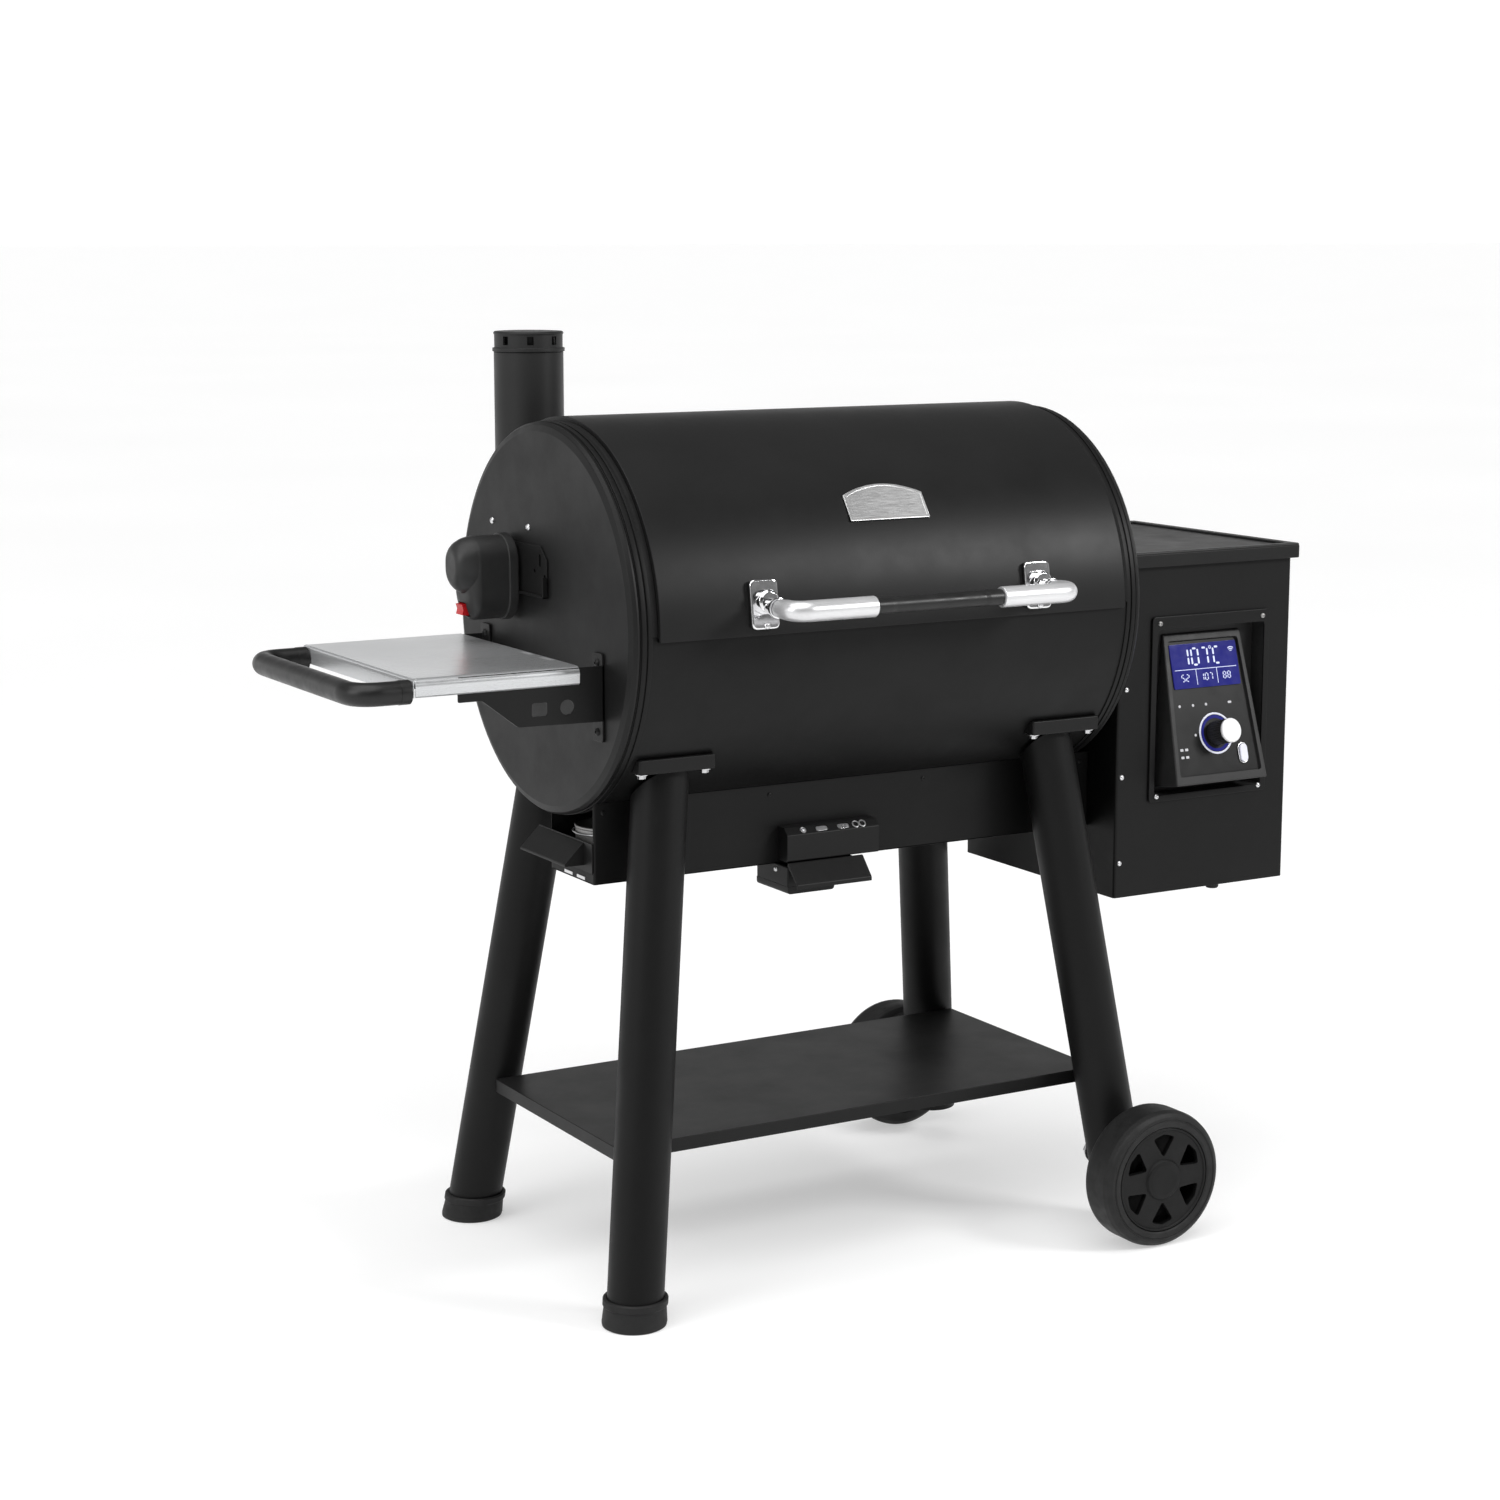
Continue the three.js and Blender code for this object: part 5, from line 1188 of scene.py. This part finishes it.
# ---- rotisserie drive ----------------------------------------------------------------
def dome(outline, centre, x0, x1, depth, rings=6):
    """Extrusion along -x whose outer end is domed."""
    cy, cz = centre
    levels = [(x1, 1.0), (x0 + depth, 1.0)]
    for t in [math.radians(90 * i / rings) for i in range(1, rings + 1)]:
        levels.append((x0 + depth * (1 - math.sin(t)), 0.42 + 0.58 * math.cos(t)))
    n = len(outline)
    points = [(x, cy + (y - cy) * s, cz + (z - cz) * s) for x, s in levels for y, z in outline]
    faces = [tuple(range(n)), tuple(range(len(points) - n, len(points)))]
    for i in range(len(levels) - 1):
        faces += [(i * n + k, i * n + (k + 1) % n, (i + 1) * n + (k + 1) % n, (i + 1) * n + k)
                  for k in range(n)]
    return raw(points, faces)


def spit_motor():
    """Round-nosed drive on its flange, with a recessed rocker below the nose."""
    x0, _, z0, _, _, z1 = extent("rotisserie_motor")
    y, z = joint_at("spit_turn")[1:]
    sx0, sy0, sz0, sx1, sy1, sz1 = extent("rotisserie_switch")
    half, face, sides = 31, sx0 + 4.5, 14
    shell = dome(stadium(y, z0 + half, z1 - half, half, sides), (y, (z0 + z1) / 2), face - 1, -388, 14)
    pocket = block(face - 9, sy0 - 1.4, sz0 - 1.4, face + 12, sy1 + 1.4, sz1 + 1.4, 0)
    slim, wide = half - 0.2, half + 3
    nose = dome(stadium(y, 858 + slim, z1 + 0.2 - slim, slim, sides), (y, (z1 + 862) / 2), x0, -398, 34, 10)
    flange = prism(stadium(y, z0 - 2 + wide, z1 + 2 - wide, wide, sides), "x", -389, -376.4, 1.6, 3)
    socket = sweep([(-386, y, z), (-360, y, z)], 6, 24, 0)
    make("motor_case", [carve(shell, pocket), nose, carve(flange, socket)], CASE, "rotisserie_motor")
    left, low, back, front = -22, 862, -CAP_FACE - 0.4, -CAP_FACE - 8
    outline = rounded([(left, low), (112, low), (112, 925), (-4, 925), (left, 908)], 5)
    holes = [circle(y, z, 7, 24), rectangle(-6, 899, 0, 915, 2.9), circle(12, 893, 2.6, 16),
             circle(-16, 888, 2.6, 16)]
    lips = [block(front, left, low, back - 0.2, 60, low + 2.4, 0.7),
            block(front, left, low, back - 0.2, -19.6, 888, 0.7)]
    make("motor_plate", [plate(outline, holes, "x", back - 2, back, 0.5), *lips], SHADED_CAP_PAINT)
    outline = [(sx0, sz0 + 1), (sx0 + 1.8, (sz0 + sz1) / 2), (sx0 - 0.2, sz1 - 1), (sx1 + 3, sz1),
               (sx1 + 3, sz0)]
    rocker = prism(rounded(outline, [0.8, 2, 0.8, 0.3, 0.3]), "y", sy0, sy1, 0.5)
    make("rocker", [rocker], RED, "rotisserie_switch", body="drive_switch")


def hidden_works():
    """CAD nodes whose own shapes are right: only their finish changes."""
    finishes = {"auger_housing": STEEL, "auger_screw": STEEL, "fan_housing": PLASTIC,
                "fan_rotor": PLASTIC, "burn_pot": IRON}
    for node, finish in finishes.items():
        materials = frame["nodes"][node].data.materials
        materials.clear()
        materials.append(finish.material)


# ---- stage ----------------------------------------------------------------------------
def stage_floor():
    f = Finish("black_paint", "studio_floor")
    f.set(base_color=f.vary(0.4, 0.55, 0.58, detail=2), roughness=f.vary(3, 0.7, 0.8),
          emission_color=(1, 1, 1, 1), emission_strength=0.45)
    mesh = bpy.data.meshes.new("floor")
    size = 400
    mesh.from_pydata([(-size, -size, 0), (size, -size, 0), (size, size, 0), (-size, size, 0)], [],
                     [(0, 1, 2, 3)])
    mesh.materials.append(f.material)
    floor = linked("floor", mesh)


def area_light(name, at, target, size, power):
    light = bpy.data.lights.new(name, "AREA")
    light.shape = "RECTANGLE"
    light.size, light.size_y = size
    light.energy = power
    lamp = linked(name, light)
    lamp.location = at
    lamp.rotation_euler = (Vector(target) - Vector(at)).to_track_quat("-Z", "Y").to_euler()


def studio():
    """White surround behind and at floor level, darker overhead and in front, one wide soft key."""
    world = bpy.data.worlds.new("studio")
    world.use_nodes = True
    sky = Nodes(world.node_tree, "Generated")
    height = sky.ramp(sky.along(sky.place, "Z"), [(0.1, 1.0), (0.4, 0.16)])
    half = sky.node("MapRange", Value=sky.along(sky.place, "Y"))
    half.inputs["From Min"].default_value = -1
    depth = sky.ramp(half.outputs["Result"], [(0.3, 0.16), (0.62, 1.0)])
    background = world.node_tree.nodes["Background"]
    sky.feed(background.inputs["Color"], sky.mix(1.0, height, depth, "MULTIPLY"))
    background.inputs["Strength"].default_value = 1.15
    bpy.context.scene.world = world
    sun = bpy.data.lights.new("sky_panel", "SUN")
    sun.energy = 2.6
    sun.angle = math.radians(70)
    linked("sky_panel", sun).rotation_euler = Vector((-0.25, -0.2, 0.95)).to_track_quat("Z", "Y").to_euler()
    area_light("side", (-3.4, -0.6, 2.2), (-0.4, 0, 0.8), (1.6, 1.6), 38)
    area_light("front_right", (2.0, -2.4, 2.2), (0.1, 0, 0.9), (0.9, 0.6), 62)
    bpy.context.scene.view_settings.view_transform = "Standard"


def camera():
    data = bpy.data.cameras.new("camera")
    data.lens = 70.55
    data.sensor_width = 36
    eye = linked("camera", data)
    eye.location = (-1.944813, -3.240601, 1.300)
    eye.rotation_euler = (math.radians(80.07), 0, math.radians(-30.01))
    bpy.context.scene.camera = eye


for build in (camera, studio, stage_floor, barrel, lid_gap_shade, lid, lid_hinges, badge, handle, end_caps,
              grates, rack, diffuser, spit, fire_box, grease_parts, cleanout, ash_drawer, legs, brackets,
              feet, wheels, lower_shelf, hopper, hopper_bin, hopper_lid, bezel, control_panel, display,
              knob_and_button, inlet, chimney, chimney_cap, side_shelf, shelf_handle, shelf_brackets,
              spit_motor, hidden_works):
    build()
